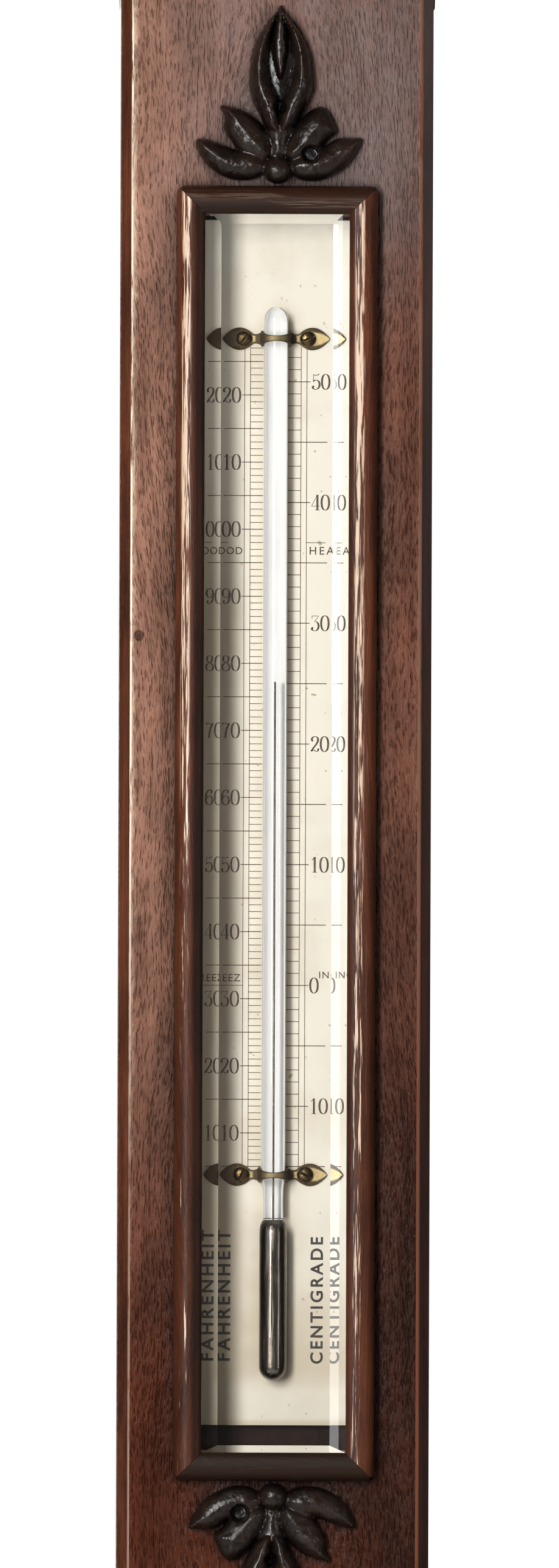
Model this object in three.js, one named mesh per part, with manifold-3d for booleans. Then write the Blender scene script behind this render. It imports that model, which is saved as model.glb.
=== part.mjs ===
// A pediment barometer: a carved oak wall case with a glazed thermometer in its shaft
// and an aneroid movement behind a round dial. Millimetres.
// It is laid out as it is seen from the front: X right, Y up, Z out of the wall, with Y = 0 at the
// middle of the thermometer box. The finished group is turned so that Z is up and the front faces -Y,
// and its origin is the middle of the hole that hangs on the wall screw.
import * as THREE from 'three';
import { mergeVertices } from 'three/addons/utils/BufferGeometryUtils.js';
import Module from 'manifold-3d';

const wasm = await Module();
wasm.setup();

// Clearances
const glueGap = 0.1;
const mitreGap = 0.05;
const pivotGap = 0.15;
const looseGap = 0.3;

// Oak case
const boardMargin = 12.1;
const boardThickness = 22;
const chamferWidth = 2.5;
const chamferDepth = 4;
const shaftAboveBox = 63;
const shaftBelowBox = 53;
const dialBoardMargin = 6;
const dialBoardChamfer = 4;
const movementHoleRadius = 77;
const sidePieceThickness = 16;
const shoulderReach = 28;
const shoulderRise = 36;
const apronWidth = 64;
const apronDrop = 40;
const apronFootWidth = 18;
const dropRadius = 7;
const dropLength = 22;

// Carved husks, from the middle of the berry to the tip of the crown
const carvingHeight = 36;
const berryShare = 0.089;

// Root, tip, width and height of the carved leaves, as shares of the height of the carving
const sideLeaves = [
  [[0.07, 0.04], [0.486, 0.18], 0.25, 0.094],
  [[0.07, 0.083], [0.347, 0.375], 0.264, 0.106],
  [[0, 0.278], [0.236, 0.75], 0.25, 0.1],
];
const middleLeaves = [
  [[0, 0.083], [0, 0.556], 0.167, 0.117],
  [[0, 0.444], [0, 1], 0.167, 0.094],
];

// Pediment
const friezeOverhang = 20;
const friezeHeight = 26;
const bracketReach = 15;
const bracketHeight = 24;
const dentilWidth = 3;
const dentilHeight = 4;
const dentilDepth = 3;
const corniceHeight = 12;
const corniceReach = 12;
const pedimentRise = 32;
const rakeHeight = 9;
const rakeReach = 14;
const tympanumThickness = 16;
const rosetteRadius = 9;
const rosetteHeight = 5;
const rosettePetals = 8;

// Hanging plate
const hangerThickness = 2;
const hangerWidth = 16;
const hangerLap = 26;
const hangerHoleRadius = 4;
const hangerRim = 6;
const sinkScrewRadius = 1.3;
const sinkHeadRadius = 2.5;
const sinkHeadHeight = 1.3;
const sinkScrewLength = 10;

// Thermometer box
const boxWidth = 43.8;
const boxHeight = 282;
const mouldingWidth = 6.2;
const mouldingSide = 1.6;
const mouldingLip = 3.9;
const mouldingCrest = 5.4;
const glassThickness = 4;
const glassBevelWidth = 5.2;
const glassBevelDrop = 2.4;
const glassSideLap = 1.7;
const glassTopLap = 3.1;
const glassFootLap = 0.8;
const wellMargin = 0.6;
const wellDepth = 15;
const scalePlateThickness = 2;
const scalePlateTopGap = 1.4;
const scalePlateFootGap = 6;

// Thermometer
const stemRadius = 2.65;
const stemTopMargin = 19.1;
const neckRadius = 2.3;
const neckHeight = 7;
const neckSlope = 2;
const boreRadius = 0.6;
const boreTopMargin = 8.9;
const threadRadius = 0.4;
const bulbRadius = 3.05;
const bulbWall = 0.5;
const bulbLength = 35.1;
const bulbFootMargin = 9.9;
const bulbShoulder = 4;
const freezingRise = 51.05;
const degreeLength = 2.638;
const temperatureDegrees = 25;

// Thermometer clips
const clipThickness = 0.5;
const clipBandHeight = 2.2;
const clipEarLength = 8.4;
const clipEarHeight = 4.9;
const clipUpperDrop = 6.9;
const clipLowerRise = 9.7;
const clipScrewPlace = 6.95;
const clipScrewHeadRadius = 1.75;
const clipScrewHeadHeight = 1.1;
const clipScrewRadius = 0.8;
const clipScrewLength = 5;
const clipScrewSlot = 0.5;

// Dial ring, movement can, dial and bezel
const dialRingHeight = 18;
const dialRingRim = 11;
const dialRingRoll = 3.5;
const dialSeatDepth = 9;
const dialSeatMargin = 2;
const canBackGap = 2.5;
const canWall = 1.5;
const canClearance = 2;
const canFlangeWidth = 12;
const canFlangeThickness = 1.7;
const dialThickness = 1.2;
const dialHoleRadius = 3;
const sightRingWidth = 5;
const sightRingHeight = 6.4;
const sightRingBase = 1;
const dialGlassThickness = 3;
const dialGlassBevelWidth = 8;
const dialGlassEdge = 1.4;
const dialGlassHoleRadius = 2.6;
const bezelWall = 2.3;
const bezelLip = 5;
const bezelCover = 6.2;
const bezelHeight = 6;

// Aneroid movement
const basePlateMargin = 11.5;
const basePlateThickness = 2.5;
const capsuleMargin = 10;
const capsuleHeight = 7.5;
const capsuleFootHeight = 2;
const capsuleFootRadius = 5;
const capsuleWaves = 3;
const waveHeight = 0.6;
const diaphragmGap = 0.5;
const studRadius = 2.4;
const studHeight = 4;
const springMargin = 16;
const springReach = 14;
const springWidth = 18;
const springThickness = 1;
const springPostLength = 10;
const springPostWidth = 24;
const armWidth = 4;
const armThickness = 1;
const armTail = 12;
const rockerMargin = 10;
const rockerHeight = 6.3;
const rockerRadius = 1.2;
const rockerHalfLength = 17.6;
const crankLength = 6;
const rockerArmWidth = 3;
const rockerArmThickness = 1.2;
const earThickness = 2.2;
const earLength = 8;
const chainArmLength = 14.5;
const chainThickness = 0.4;
const drumRadius = 0.72;
const drumHeight = 2;
const arborRadius = 0.55;
const arborFrontRadius = 1;
const arborLift = 0.9;
const bridgeThickness = 1.4;
const bridgeWidth = 10;
const bridgePillarMargin = 18;
const bridgePillarRadius = 3;
const collarRadius = 1.8;
const collarHeight = 1;
const hairspringTurns = 3;
const hairspringPitch = 1.5;
const hairspringWire = 0.35;
const hairspringHeight = 0.7;
const hairspringPostRadius = 0.8;
const handLift = 2;
const handMargin = 10.5;
const handTail = 26;
const handWidth = 3;
const handThickness = 0.7;
const handHubRadius = 4;
const setHandLift = 1.6;
const setHandMargin = 13.5;
const setHandTail = 18;
const setHandAngle = -24;
const setHandPinRadius = 0.8;
const spindleRadius = 2.3;
const knobRadius = 4.8;
const knobHeight = 6;
const knobFlutes = 12;
const adjusterRadius = 1.5;
const adjusterHeadRadius = 3;
const adjusterHeadHeight = 2;
const adjusterLength = 8;
const adjusterSlot = 0.8;

// Places that follow from the sizes above
const quarter = Math.PI / 2;
const halfBoard = boxWidth / 2 + boardMargin;
const boardSeat = boardThickness + glueGap;
const boxInnerX = boxWidth / 2 - mouldingWidth;
const boxInnerY = boxHeight / 2 - mouldingWidth;
const wellX = boxInnerX + wellMargin;
const wellY = boxInnerY + wellMargin;
const plateTop = wellY - scalePlateTopGap;
const plateFoot = scalePlateFootGap - wellY;
const wellFloor = boardThickness - wellDepth;
const plateBack = wellFloor + glueGap;
const plateFront = plateBack + scalePlateThickness;
const clipFoot = plateFront + glueGap;
const stemAxis = plateFront + looseGap + Math.max(stemRadius, bulbRadius);
const glassRim = glassThickness - glassBevelDrop;
const berryRadius = carvingHeight * berryShare;
const carvingPlace = boxHeight / 2 + berryRadius + looseGap;
const stemTop = plateTop - stemTopMargin;
const bulbFoot = plateFoot + bulbFootMargin;
const bulbTop = bulbFoot + bulbLength;
const stemFoot = bulbTop + glueGap;
const clipUpperPlace = stemTop - clipUpperDrop;
const clipLowerPlace = stemFoot + clipLowerRise;
const freezingMark = stemFoot + freezingRise;

const canRadius = movementHoleRadius - canClearance;
const flangeRadius = canRadius + canFlangeWidth;
const dialSeatRadius = flangeRadius + dialSeatMargin;
const dialRingRadius = dialSeatRadius + dialRingRim;
const dialBoardRadius = dialRingRadius + dialBoardMargin;
const shaftRise = boxHeight / 2 + shaftAboveBox;
const dialPlace = -boxHeight / 2 - shaftBelowBox - dialBoardRadius;
const apronTop = -Math.sqrt((dialBoardRadius + looseGap) ** 2 - (apronWidth / 2) ** 2);
const apronFoot = -dialBoardRadius - apronDrop;

const friezeFoot = shaftRise + glueGap;
const friezeX = halfBoard + friezeOverhang;
const corniceFoot = friezeFoot + friezeHeight + glueGap;
const corniceX = friezeX + corniceReach;
const pedimentFoot = corniceFoot + corniceHeight + glueGap;
const pedimentSlope = pedimentRise / corniceX;
const pedimentBack = hangerThickness + glueGap;
const tympanumFront = pedimentBack + tympanumThickness;
const apexTop = pedimentFoot + pedimentRise + rakeHeight;
const hangerPlace = apexTop + looseGap + hangerHoleRadius;
const hangerFoot = pedimentFoot + pedimentRise - hangerLap;
const hangerScrews = [hangerFoot + hangerLap * 0.25, hangerFoot + hangerLap * 0.7];

const ringSeat = boardSeat + dialSeatDepth;
const ringFront = boardSeat + dialRingHeight;
const flangeFoot = ringSeat + glueGap;
const flangeFront = flangeFoot + canFlangeThickness;
const canScrewPlace = (movementHoleRadius + flangeRadius) / 2;
const bezelBore = dialSeatRadius - glueGap - bezelWall;
const dialFoot = flangeFront + glueGap;
const dialFront = dialFoot + dialThickness;
const dialRadius = bezelBore - glueGap;
const sightRingFoot = dialFront + glueGap;
const dialGlassFoot = sightRingFoot + sightRingHeight + glueGap;
const dialGlassFront = dialGlassFoot + dialGlassThickness;
const bezelFront = ringFront + bezelHeight;

const canInside = canBackGap + canWall;
const basePlateRadius = canRadius - canWall - basePlateMargin;
const rockerPlace = basePlateRadius - rockerMargin;
const springPivot = basePlateRadius - springMargin;
const bridgePillarPlace = basePlateRadius - bridgePillarMargin;
const capsuleRadius = springPivot - springPostLength / 2 - capsuleMargin;
const baseFoot = canInside + glueGap;
const baseFront = baseFoot + basePlateThickness;
const capsuleFoot = baseFront + glueGap;
const capsuleBack = capsuleFoot + capsuleFootHeight;
const capsuleFront = capsuleBack + capsuleHeight;
const studFoot = capsuleFront + diaphragmGap;
const springBack = studFoot + studHeight + looseGap;
const springFront = springBack + springThickness;
const armBack = springFront + glueGap;
const armFront = armBack + armThickness;
const linkPlace = rockerPlace - crankLength;
const rockerAxis = baseFront + rockerHeight;
const chainAxis = rockerAxis + chainArmLength;
const chainOffset = drumRadius + pivotGap + chainThickness / 2;
const bridgeBack = chainAxis + drumHeight / 2 + looseGap;
const bridgeFront = bridgeBack + bridgeThickness;
const collarBack = bridgeFront + looseGap;
const hairspringInner = collarRadius + pivotGap + hairspringWire / 2;
const hairspringOuter = hairspringInner + hairspringTurns * hairspringPitch;
const handBack = dialFront + handLift;
const handFront = handBack + handThickness;
const arborFront = handFront + 0.4;
const setHandBack = handFront + setHandLift;
const setHandFront = setHandBack + handThickness;
const adjusterFront = adjusterHeadHeight + adjusterLength;

const largeSteps = 40;
const middleSteps = 24;
const smallSteps = 12;

function finish(color, roughness, metalness) {
  return new THREE.MeshStandardMaterial({ color, roughness, metalness });
}
const oak = finish(0x55301f, 0.5, 0);
const mouldedOak = finish(0x4a2417, 0.35, 0);
const carvedOak = finish(0x1e130e, 0.4, 0);
const agedBrass = finish(0x6e5a3c, 0.4, 1);
const brass = finish(0xa88a4e, 0.3, 1);
const steel = finish(0x8a8c90, 0.3, 1);
const bluedSteel = finish(0x10131f, 0.25, 1);
const ivory = finish(0xeee6d2, 0.45, 0);
const enamel = finish(0xe9e8e6, 0.12, 0);
const quicksilver = finish(0xb4b4b8, 0.08, 1);
const clearGlass = finish(0xe8eef0, 0.05, 0);
clearGlass.transparent = true;
clearGlass.opacity = 0.3;

const barometer = new THREE.Group();
const frontView = new THREE.Group();
frontView.rotation.x = quarter;
frontView.position.z = -hangerPlace;
barometer.add(frontView);
const dialGroup = new THREE.Group();
dialGroup.position.y = dialPlace;
frontView.add(dialGroup);

function place(name, geometry, material, group = frontView) {
  const mesh = new THREE.Mesh(geometry, material);
  mesh.name = name;
  group.add(mesh);
}

// A closed geometry as a solid that can be cut and joined
function solidFrom(geometry) {
  const bare = new THREE.BufferGeometry().setAttribute('position', geometry.getAttribute('position'));
  bare.setIndex(geometry.index);
  const merged = mergeVertices(bare, 1e-4);
  const vertProperties = new Float32Array(merged.getAttribute('position').array);
  const triVerts = new Uint32Array(merged.index.array);
  return new wasm.Manifold(new wasm.Mesh({ numProp: 3, vertProperties, triVerts }));
}

function geometryFrom(solid) {
  const mesh = solid.getMesh();
  const geometry = new THREE.BufferGeometry();
  geometry.setAttribute('position', new THREE.BufferAttribute(new Float32Array(mesh.vertProperties), 3));
  geometry.setIndex(new THREE.BufferAttribute(new Uint32Array(mesh.triVerts), 1));
  return geometry;
}

function join(...geometries) {
  return geometryFrom(geometries.map(solidFrom).reduce((whole, next) => whole.add(next)));
}

function cut(body, ...tools) {
  return geometryFrom(tools.map(solidFrom).reduce((whole, tool) => whole.subtract(tool), solidFrom(body)));
}

const outline = (points) => new THREE.Shape(points.map(([x, y]) => new THREE.Vector2(x, y)));

function extruded(shape, depth, curveSegments = 8) {
  return new THREE.ExtrudeGeometry(shape, { depth, bevelEnabled: false, curveSegments });
}

// A flat piece with its outline in the front view, between two heights above the wall
const slab = (shape, back, front, curveSegments) =>
  extruded(shape, front - back, curveSegments).translate(0, 0, back);

// A piece with its outline in X and Z, run along Y
const upright = (shape, foot, top, curveSegments) =>
  extruded(shape, top - foot, curveSegments).rotateX(quarter).translate(0, top, 0);

// A piece with its outline in Z and Y, run along X
const level = (shape, left, right, curveSegments) =>
  extruded(shape, right - left, curveSegments).rotateY(-quarter).translate(right, 0, 0);

const block = (x, y, width, height, back, front) =>
  new THREE.BoxGeometry(width, height, front - back).translate(x, y, (back + front) / 2);

const profile = (points) => points.map(([radius, height]) => new THREE.Vector2(radius, height));

// A turned piece on an axis out of the wall, from a list of [radius, height above the wall]
function turned(points, steps = largeSteps) {
  return new THREE.LatheGeometry(profile(points), steps).rotateX(quarter);
}

// A turned piece on an upright axis, from a list of [radius, Y]
const turnedUpright = (points, axis, steps = smallSteps) =>
  new THREE.LatheGeometry(profile(points), steps).translate(0, 0, axis);

const rod = (x, y, radius, back, front, steps = smallSteps) =>
  turned([[0, back], [radius, back], [radius, front], [0, front]], steps).translate(x, y, 0);

const ring = (inner, outer, back, front, steps = largeSteps) =>
  turned([[inner, back], [outer, back], [outer, front], [inner, front], [inner, back]], steps);

// Points on a round or oval part of a turned profile
function arc(radius, height, reach, rise, from, to, steps) {
  return Array.from({ length: steps + 1 }, (_, i) => {
    const angle = from + ((to - from) * i) / steps;
    return [radius + reach * Math.cos(angle), height + rise * Math.sin(angle)];
  });
}

// Moves each corner of a geometry
function reshape(geometry, move) {
  const position = geometry.getAttribute('position');
  const point = new THREE.Vector3();
  for (let i = 0; i < position.count; i++) {
    point.fromBufferAttribute(position, i);
    move(point);
    position.setXYZ(i, point.x, point.y, point.z);
  }
  return geometry;
}

// The places of the four clip screws: left and right of the upper and of the lower clip
const clipScrews = [clipUpperPlace, clipLowerPlace].flatMap((y) => [
  [-clipScrewPlace, y],
  [clipScrewPlace, y],
]);
const canScrews = [0, 1, 2].map((i) => {
  const angle = quarter + (i * Math.PI * 2) / 3;
  return [canScrewPlace * Math.cos(angle), canScrewPlace * Math.sin(angle)];
});

function caseBoard() {
  const chamferFoot = boardThickness - chamferDepth;
  const section = outline([
    [-halfBoard, 0],
    [halfBoard, 0],
    [halfBoard, chamferFoot],
    [halfBoard - chamferWidth, boardThickness],
    [chamferWidth - halfBoard, boardThickness],
    [-halfBoard, chamferFoot],
  ]);
  const round = turned([
    [0, 0],
    [dialBoardRadius, 0],
    [dialBoardRadius, boardThickness - dialBoardChamfer],
    [dialBoardRadius - dialBoardChamfer, boardThickness],
    [0, boardThickness],
  ]);
  const screwFoot = clipFoot + clipThickness - clipScrewLength - looseGap;
  const screwHoles = clipScrews.map(([x, y]) =>
    rod(x, y, clipScrewRadius + pivotGap, screwFoot, boardThickness, 8)
  );
  return cut(
    join(upright(section, dialPlace, shaftRise), round.translate(0, dialPlace, 0)),
    block(0, 0, 2 * wellX, 2 * wellY, wellFloor, boardThickness + 1),
    rod(0, dialPlace, movementHoleRadius, -1, boardThickness + 1, largeSteps),
    ...screwHoles
  );
}

// One rail of the box moulding: half round on top, with a rebate for the edge of the glass and mitred
// ends. It is made on the right and turned round the middle of the box by an angle.
function boxMoulding(reach, run, lap, angle) {
  const underside = glassRim + (glassBevelDrop * lap) / glassBevelWidth + glueGap;
  const rebate = lap + looseGap;
  const middle = mouldingWidth / 2;
  const section = new THREE.Shape();
  section.moveTo(rebate, 0);
  section.lineTo(mouldingWidth, 0);
  section.absellipse(middle, mouldingSide, middle, mouldingCrest - mouldingSide, 0, quarter);
  section.absellipse(middle, mouldingLip, middle, mouldingCrest - mouldingLip, quarter, Math.PI);
  section.lineTo(0, underside);
  section.lineTo(rebate, underside);
  const rail = reshape(upright(section, -1, 1, 5), (point) => {
    point.y *= run + point.x - mitreGap;
    point.x += reach;
    point.z += boardSeat;
  });
  return rail.rotateZ(angle);
}

function boxGlass() {
  const halfWidth = boxInnerX + glassSideLap;
  const height = 2 * boxInnerY + glassTopLap + glassFootLap;
  const heights = [0, glassRim, glassThickness];
  const pane = reshape(new THREE.BoxGeometry(2 * halfWidth, height, 2, 1, 1, 2), (point) => {
    const step = Math.round(point.z) + 1;
    const inset = step === 2 ? glassBevelWidth : 0;
    point.x -= Math.sign(point.x) * inset;
    point.y -= Math.sign(point.y) * inset;
    point.z = boardSeat + heights[step];
  });
  return pane.translate(0, (glassTopLap - glassFootLap) / 2, 0);
}

function scalePlate() {
  const width = 2 * (wellX - looseGap);
  const plate = block(0, (plateTop + plateFoot) / 2, width, plateTop - plateFoot, plateBack, plateFront);
  const holes = clipScrews.map(([x, y]) =>
    rod(x, y, clipScrewRadius + pivotGap, plateBack - 1, plateFront + 1, 8)
  );
  return cut(plate, ...holes);
}

function thermometerStem() {
  return turnedUpright(
    [
      [0, stemTop - boreTopMargin],
      [boreRadius, stemTop - boreTopMargin],
      [boreRadius, stemFoot],
      [neckRadius, stemFoot],
      [neckRadius, stemFoot + neckHeight],
      [stemRadius, stemFoot + neckHeight + neckSlope],
      ...arc(0, stemTop - stemRadius, stemRadius, stemRadius, 0, quarter, 4),
    ],
    stemAxis
  );
}

// The bulb is open at its top, where the bore of the stem meets it
function bulbOutline(inset, mouth) {
  const radius = bulbRadius - inset;
  return [
    ...arc(0, bulbFoot + bulbRadius, radius, radius, -quarter, 0, 3),
    [radius, bulbTop - bulbShoulder],
    ...arc(mouth, bulbTop - bulbShoulder, radius - mouth, bulbShoulder - inset, 0.3, quarter, 3),
  ];
}

function thermometerBulb() {
  const inside = bulbOutline(bulbWall, boreRadius).reverse();
  return turnedUpright([...bulbOutline(0, neckRadius), [boreRadius, bulbTop], ...inside], stemAxis);
}

function mercury() {
  const filled = bulbOutline(bulbWall + glueGap, threadRadius);
  const top = freezingMark + temperatureDegrees * degreeLength;
  return turnedUpright([...filled, [threadRadius, top], [0, top + threadRadius]], stemAxis, 12);
}

// A brass strap over the stem, with a pointed ear on each side of it
function clip(height) {
  const inner = stemRadius + pivotGap;
  const outer = inner + clipThickness;
  const flange = clipScrewPlace;
  const ledge = clipFoot + clipThickness;
  const strap = new THREE.Shape();
  strap.moveTo(-flange, clipFoot);
  strap.lineTo(-inner, clipFoot);
  strap.absarc(0, stemAxis, inner, Math.PI, 0, true);
  strap.lineTo(inner, clipFoot);
  strap.lineTo(flange, clipFoot);
  strap.lineTo(flange, ledge);
  strap.lineTo(outer, ledge);
  strap.absarc(0, stemAxis, outer, 0, Math.PI, false);
  strap.lineTo(-outer, ledge);
  strap.lineTo(-flange, ledge);
  const band = upright(strap, height - clipBandHeight / 2, height + clipBandHeight / 2, 8);
  const ears = [-1, 1].map((side) => clipEar(side, inner).translate(0, height, 0));
  const holes = [-1, 1].map((side) =>
    rod(side * clipScrewPlace, height, clipScrewRadius + pivotGap, clipFoot - 1, ledge + 1, 8)
  );
  return cut(join(band, ...ears), ...holes);
}

function clipEar(side, start) {
  const near = side * (start + clipThickness);
  const far = near + side * clipEarLength;
  const middle = (near + far) / 2;
  const ear = new THREE.Shape();
  ear.moveTo(near, 0);
  ear.quadraticCurveTo(middle, clipEarHeight, far, 0);
  ear.quadraticCurveTo(middle, -clipEarHeight, near, 0);
  return slab(ear, clipFoot, clipFoot + clipThickness, 6);
}

function clipScrew([x, y]) {
  const foot = clipFoot + clipThickness + glueGap;
  const top = foot + clipScrewHeadHeight;
  const body = turned(
    [
      [0, foot - clipScrewLength],
      [clipScrewRadius, foot - clipScrewLength],
      [clipScrewRadius, foot],
      [clipScrewHeadRadius, foot],
      ...arc(0, foot + 0.4, clipScrewHeadRadius, clipScrewHeadHeight - 0.4, 0, quarter, 3),
    ],
    smallSteps
  );
  const slot = block(0, 0, clipScrewHeadRadius * 3, clipScrewSlot, top - clipScrewHeadHeight / 2, top + 1);
  return cut(body, slot.rotateZ(x * y)).translate(x, y, 0);
}

// The space of a countersunk screw that faces out of the wall, with its head's top at a given height
function sinkScrewSpace(front, clearance = pivotGap) {
  const shaft = sinkScrewRadius + clearance;
  const head = sinkHeadRadius + clearance;
  const foot = front - sinkScrewLength - clearance;
  const neck = front - sinkHeadHeight;
  const points = [
    [0, foot],
    [shaft, foot],
    [shaft, neck],
    [head, front],
    [head, front + 1],
    [0, front + 1],
  ];
  return turned(points, smallSteps);
}

function sinkScrew(front) {
  const overhead = block(0, 0, sinkHeadRadius * 3, sinkHeadRadius * 3, front, front + 2);
  const slot = block(0, 0, sinkHeadRadius * 3, clipScrewSlot, front - sinkHeadHeight / 2, front + 1);
  return cut(sinkScrewSpace(front, 0), overhead, slot);
}

// A carved leaf: a bulging blade from its root to its pointed tip, lying on the plane at height 0.
// It is made for a carving of height 1 and scaled up.
function leaf(side, proportions) {
  const [[rootX, rootY], [tipX, tipY], width, height] = proportions;
  const length = Math.hypot(tipX - rootX, tipY - rootY);
  const blade = reshape(new THREE.SphereGeometry(1, 8, 5).rotateZ(-quarter), (point) => {
    const along = (point.x + 1) / 2;
    const narrowing = 1.25 - 0.9 * along;
    point.x = along * length;
    point.y *= (width / 2) * narrowing;
    point.z *= height * narrowing;
  });
  const turn = Math.atan2(tipY - rootY, side * (tipX - rootX));
  blade.rotateZ(turn).translate(side * rootX, rootY, 0);
  return blade.scale(carvingHeight, carvingHeight, carvingHeight);
}

// The husk ornament, growing up from its berry at the origin. The space under its seat is cut away.
function huskOrnament(seat) {
  const sides = [-1, 1].flatMap((side) => sideLeaves.map((each) => leaf(side, each)));
  const berry = new THREE.SphereGeometry(berryRadius, 10, 6);
  const whole = join(berry, ...middleLeaves.map((each) => leaf(1, each)), ...sides);
  const under = block(0, 0, 3 * carvingHeight, 3 * carvingHeight, -2 * berryRadius, 0);
  return cut(whole, under).translate(0, 0, seat);
}

// A shoulder between the shaft and the round of the case
function shoulder(side) {
  const radius = dialBoardRadius + looseGap;
  const near = halfBoard + looseGap;
  const far = near + shoulderReach;
  const meetNear = Math.acos(near / radius);
  const meetFar = Math.acos(far / radius);
  const top = radius * Math.sin(meetNear) + shoulderRise;
  const shape = new THREE.Shape();
  shape.moveTo(near, top);
  shape.absarc(0, 0, radius, meetNear, meetFar, true);
  const waist = radius * Math.sin(meetNear) + shoulderRise / 9;
  shape.quadraticCurveTo(near + shoulderReach * 0.3, waist, near + shoulderReach / 6, top - shoulderRise / 9);
  const points = shape.getPoints(10).map((point) => new THREE.Vector2(side * point.x, point.y));
  return slab(new THREE.Shape(points), 0, sidePieceThickness).translate(0, dialPlace, 0);
}

function apron() {
  const radius = dialBoardRadius + looseGap;
  const half = apronWidth / 2;
  const foot = apronFootWidth / 2;
  const spread = Math.asin(half / radius);
  const shape = new THREE.Shape();
  shape.moveTo(-half, apronTop);
  shape.absarc(0, 0, radius, -quarter - spread, -quarter + spread, false);
  const knee = foot * 1.67;
  const bendTop = apronTop - apronDrop / 2;
  const bendFoot = apronFoot + apronDrop * 0.45;
  shape.bezierCurveTo(half, bendTop, knee, bendFoot, foot, apronFoot);
  shape.lineTo(-foot, apronFoot);
  shape.bezierCurveTo(-knee, bendFoot, -half, bendTop, -half, apronTop);
  return slab(shape, 0, sidePieceThickness, 10).translate(0, dialPlace, 0);
}

function apronCarving() {
  const size = apronDrop / carvingHeight;
  const ornament = huskOrnament(sidePieceThickness + glueGap).scale(size, size, 1).rotateZ(Math.PI);
  return ornament.translate(0, dialPlace - dialBoardRadius - berryRadius * size - looseGap, 0);
}

// The turned drop under the apron
function dropFinial() {
  const top = apronFoot - glueGap;
  const ball = top - dropLength + dropRadius;
  return turnedUpright(
    [
      [0, top - dropLength],
      ...arc(0, ball, dropRadius, dropRadius, 0.3 - quarter, 0.9, 6),
      [dropRadius * 0.45, top - 6],
      [dropRadius * 0.9, top - 4.5],
      [dropRadius * 0.9, top - 3],
      [dropRadius * 0.6, top - 2],
      [dropRadius * 0.6, top],
      [0, top],
    ],
    sidePieceThickness / 2
  );
}

function bracket(side) {
  const near = side * (halfBoard + looseGap);
  const far = near + side * bracketReach;
  const shape = new THREE.Shape();
  shape.moveTo(near, shaftRise - bracketHeight);
  shape.quadraticCurveTo(near, shaftRise - bracketHeight * 0.3, far, shaftRise - 5);
  shape.lineTo(far, shaftRise);
  shape.lineTo(near, shaftRise);
  return slab(shape, 0, sidePieceThickness, 8);
}

// A strip of small blocks under the cornice
function dentilStrip() {
  const top = corniceFoot - glueGap;
  const count = Math.floor(friezeX / dentilWidth);
  const start = (-(2 * count - 1) * dentilWidth) / 2;
  const teeth = Array.from({ length: count }, (_, i) => start + 2 * i * dentilWidth);
  const points = teeth.flatMap((x) => [
    [x, top - dentilHeight],
    [x + dentilWidth, top - dentilHeight],
    [x + dentilWidth, top - dentilHeight / 3],
    [x + 2 * dentilWidth, top - dentilHeight / 3],
  ]);
  points.pop();
  const shape = outline([...points, [start + (2 * count - 1) * dentilWidth, top], [start, top]]);
  return slab(shape, boardSeat, boardSeat + dentilDepth);
}

// The cornice: each level of the moulding is a rectangle that reaches out to the front and both sides
function cornice() {
  const levels = [
    [0, 0.3],
    [0.15, 0.3],
    [0.25, 0.36],
    [0.45, 0.6],
    [0.6, 0.86],
    [0.66, 0.9],
    [0.66, 1],
    [1, 1],
  ];
  const last = levels.length - 1;
  return reshape(new THREE.BoxGeometry(2, last, 2, 1, last, 1), (point) => {
    const [rise, reach] = levels[Math.round(point.y + last / 2)];
    point.x *= friezeX + corniceReach * reach;
    point.y = corniceFoot + corniceHeight * rise;
    point.z = point.z > 0 ? boardThickness + corniceReach * reach : 0;
  });
}

// A raking moulding: its section is upright and slides down the slope, with a plumb joint at the apex
function rake(left, right) {
  const front = tympanumFront + rakeReach;
  const lip = rakeHeight * 0.3;
  const section = new THREE.Shape();
  section.moveTo(pedimentBack, 0);
  section.lineTo(tympanumFront + rakeReach * 0.3, 0);
  section.quadraticCurveTo(tympanumFront + rakeReach * 0.4, rakeHeight - lip, front, rakeHeight - lip);
  section.lineTo(front, rakeHeight);
  section.lineTo(pedimentBack, rakeHeight);
  return reshape(level(section, left, right, 6), (point) => {
    point.y += pedimentFoot + (corniceX - Math.abs(point.x)) * pedimentSlope;
  });
}

function tympanum() {
  const end = corniceX - 1 / pedimentSlope;
  const lower = pedimentFoot - glueGap;
  const height = (x) => lower + (corniceX - Math.abs(x)) * pedimentSlope;
  const shape = outline([
    [-end, pedimentFoot],
    [end, pedimentFoot],
    [end, height(end)],
    [0, height(0)],
    [-end, height(end)],
  ]);
  const tools = hangerScrews.map((y) => backScrewSpace(y));
  return cut(slab(shape, pedimentBack, tympanumFront), ...tools);
}

const backScrewSpace = (y) => sinkScrewSpace(0).rotateY(Math.PI).translate(0, y, 0);

function rosette() {
  const height = pedimentFoot + pedimentRise * 0.42;
  const dome = turned(
    [
      [0, 0],
      [rosetteRadius, 0],
      [rosetteRadius, 1],
      ...arc(rosetteRadius * 0.4, 1, rosetteRadius * 0.6, rosetteHeight - 2, 0.2, 1.8, 4),
      ...arc(0, 2, rosetteRadius * 0.3, rosetteHeight - 2, 0, quarter, 3),
    ],
    rosettePetals * 2
  );
  const petalled = reshape(dome, (point) => {
    const angle = Math.atan2(point.y, point.x);
    const radius = Math.hypot(point.x, point.y);
    const dip = 0.09 * (radius / rosetteRadius) * (Math.cos(angle * rosettePetals) - 1);
    point.x *= 1 + dip;
    point.y *= 1 + dip;
  });
  return petalled.translate(0, height, tympanumFront + glueGap);
}

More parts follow.
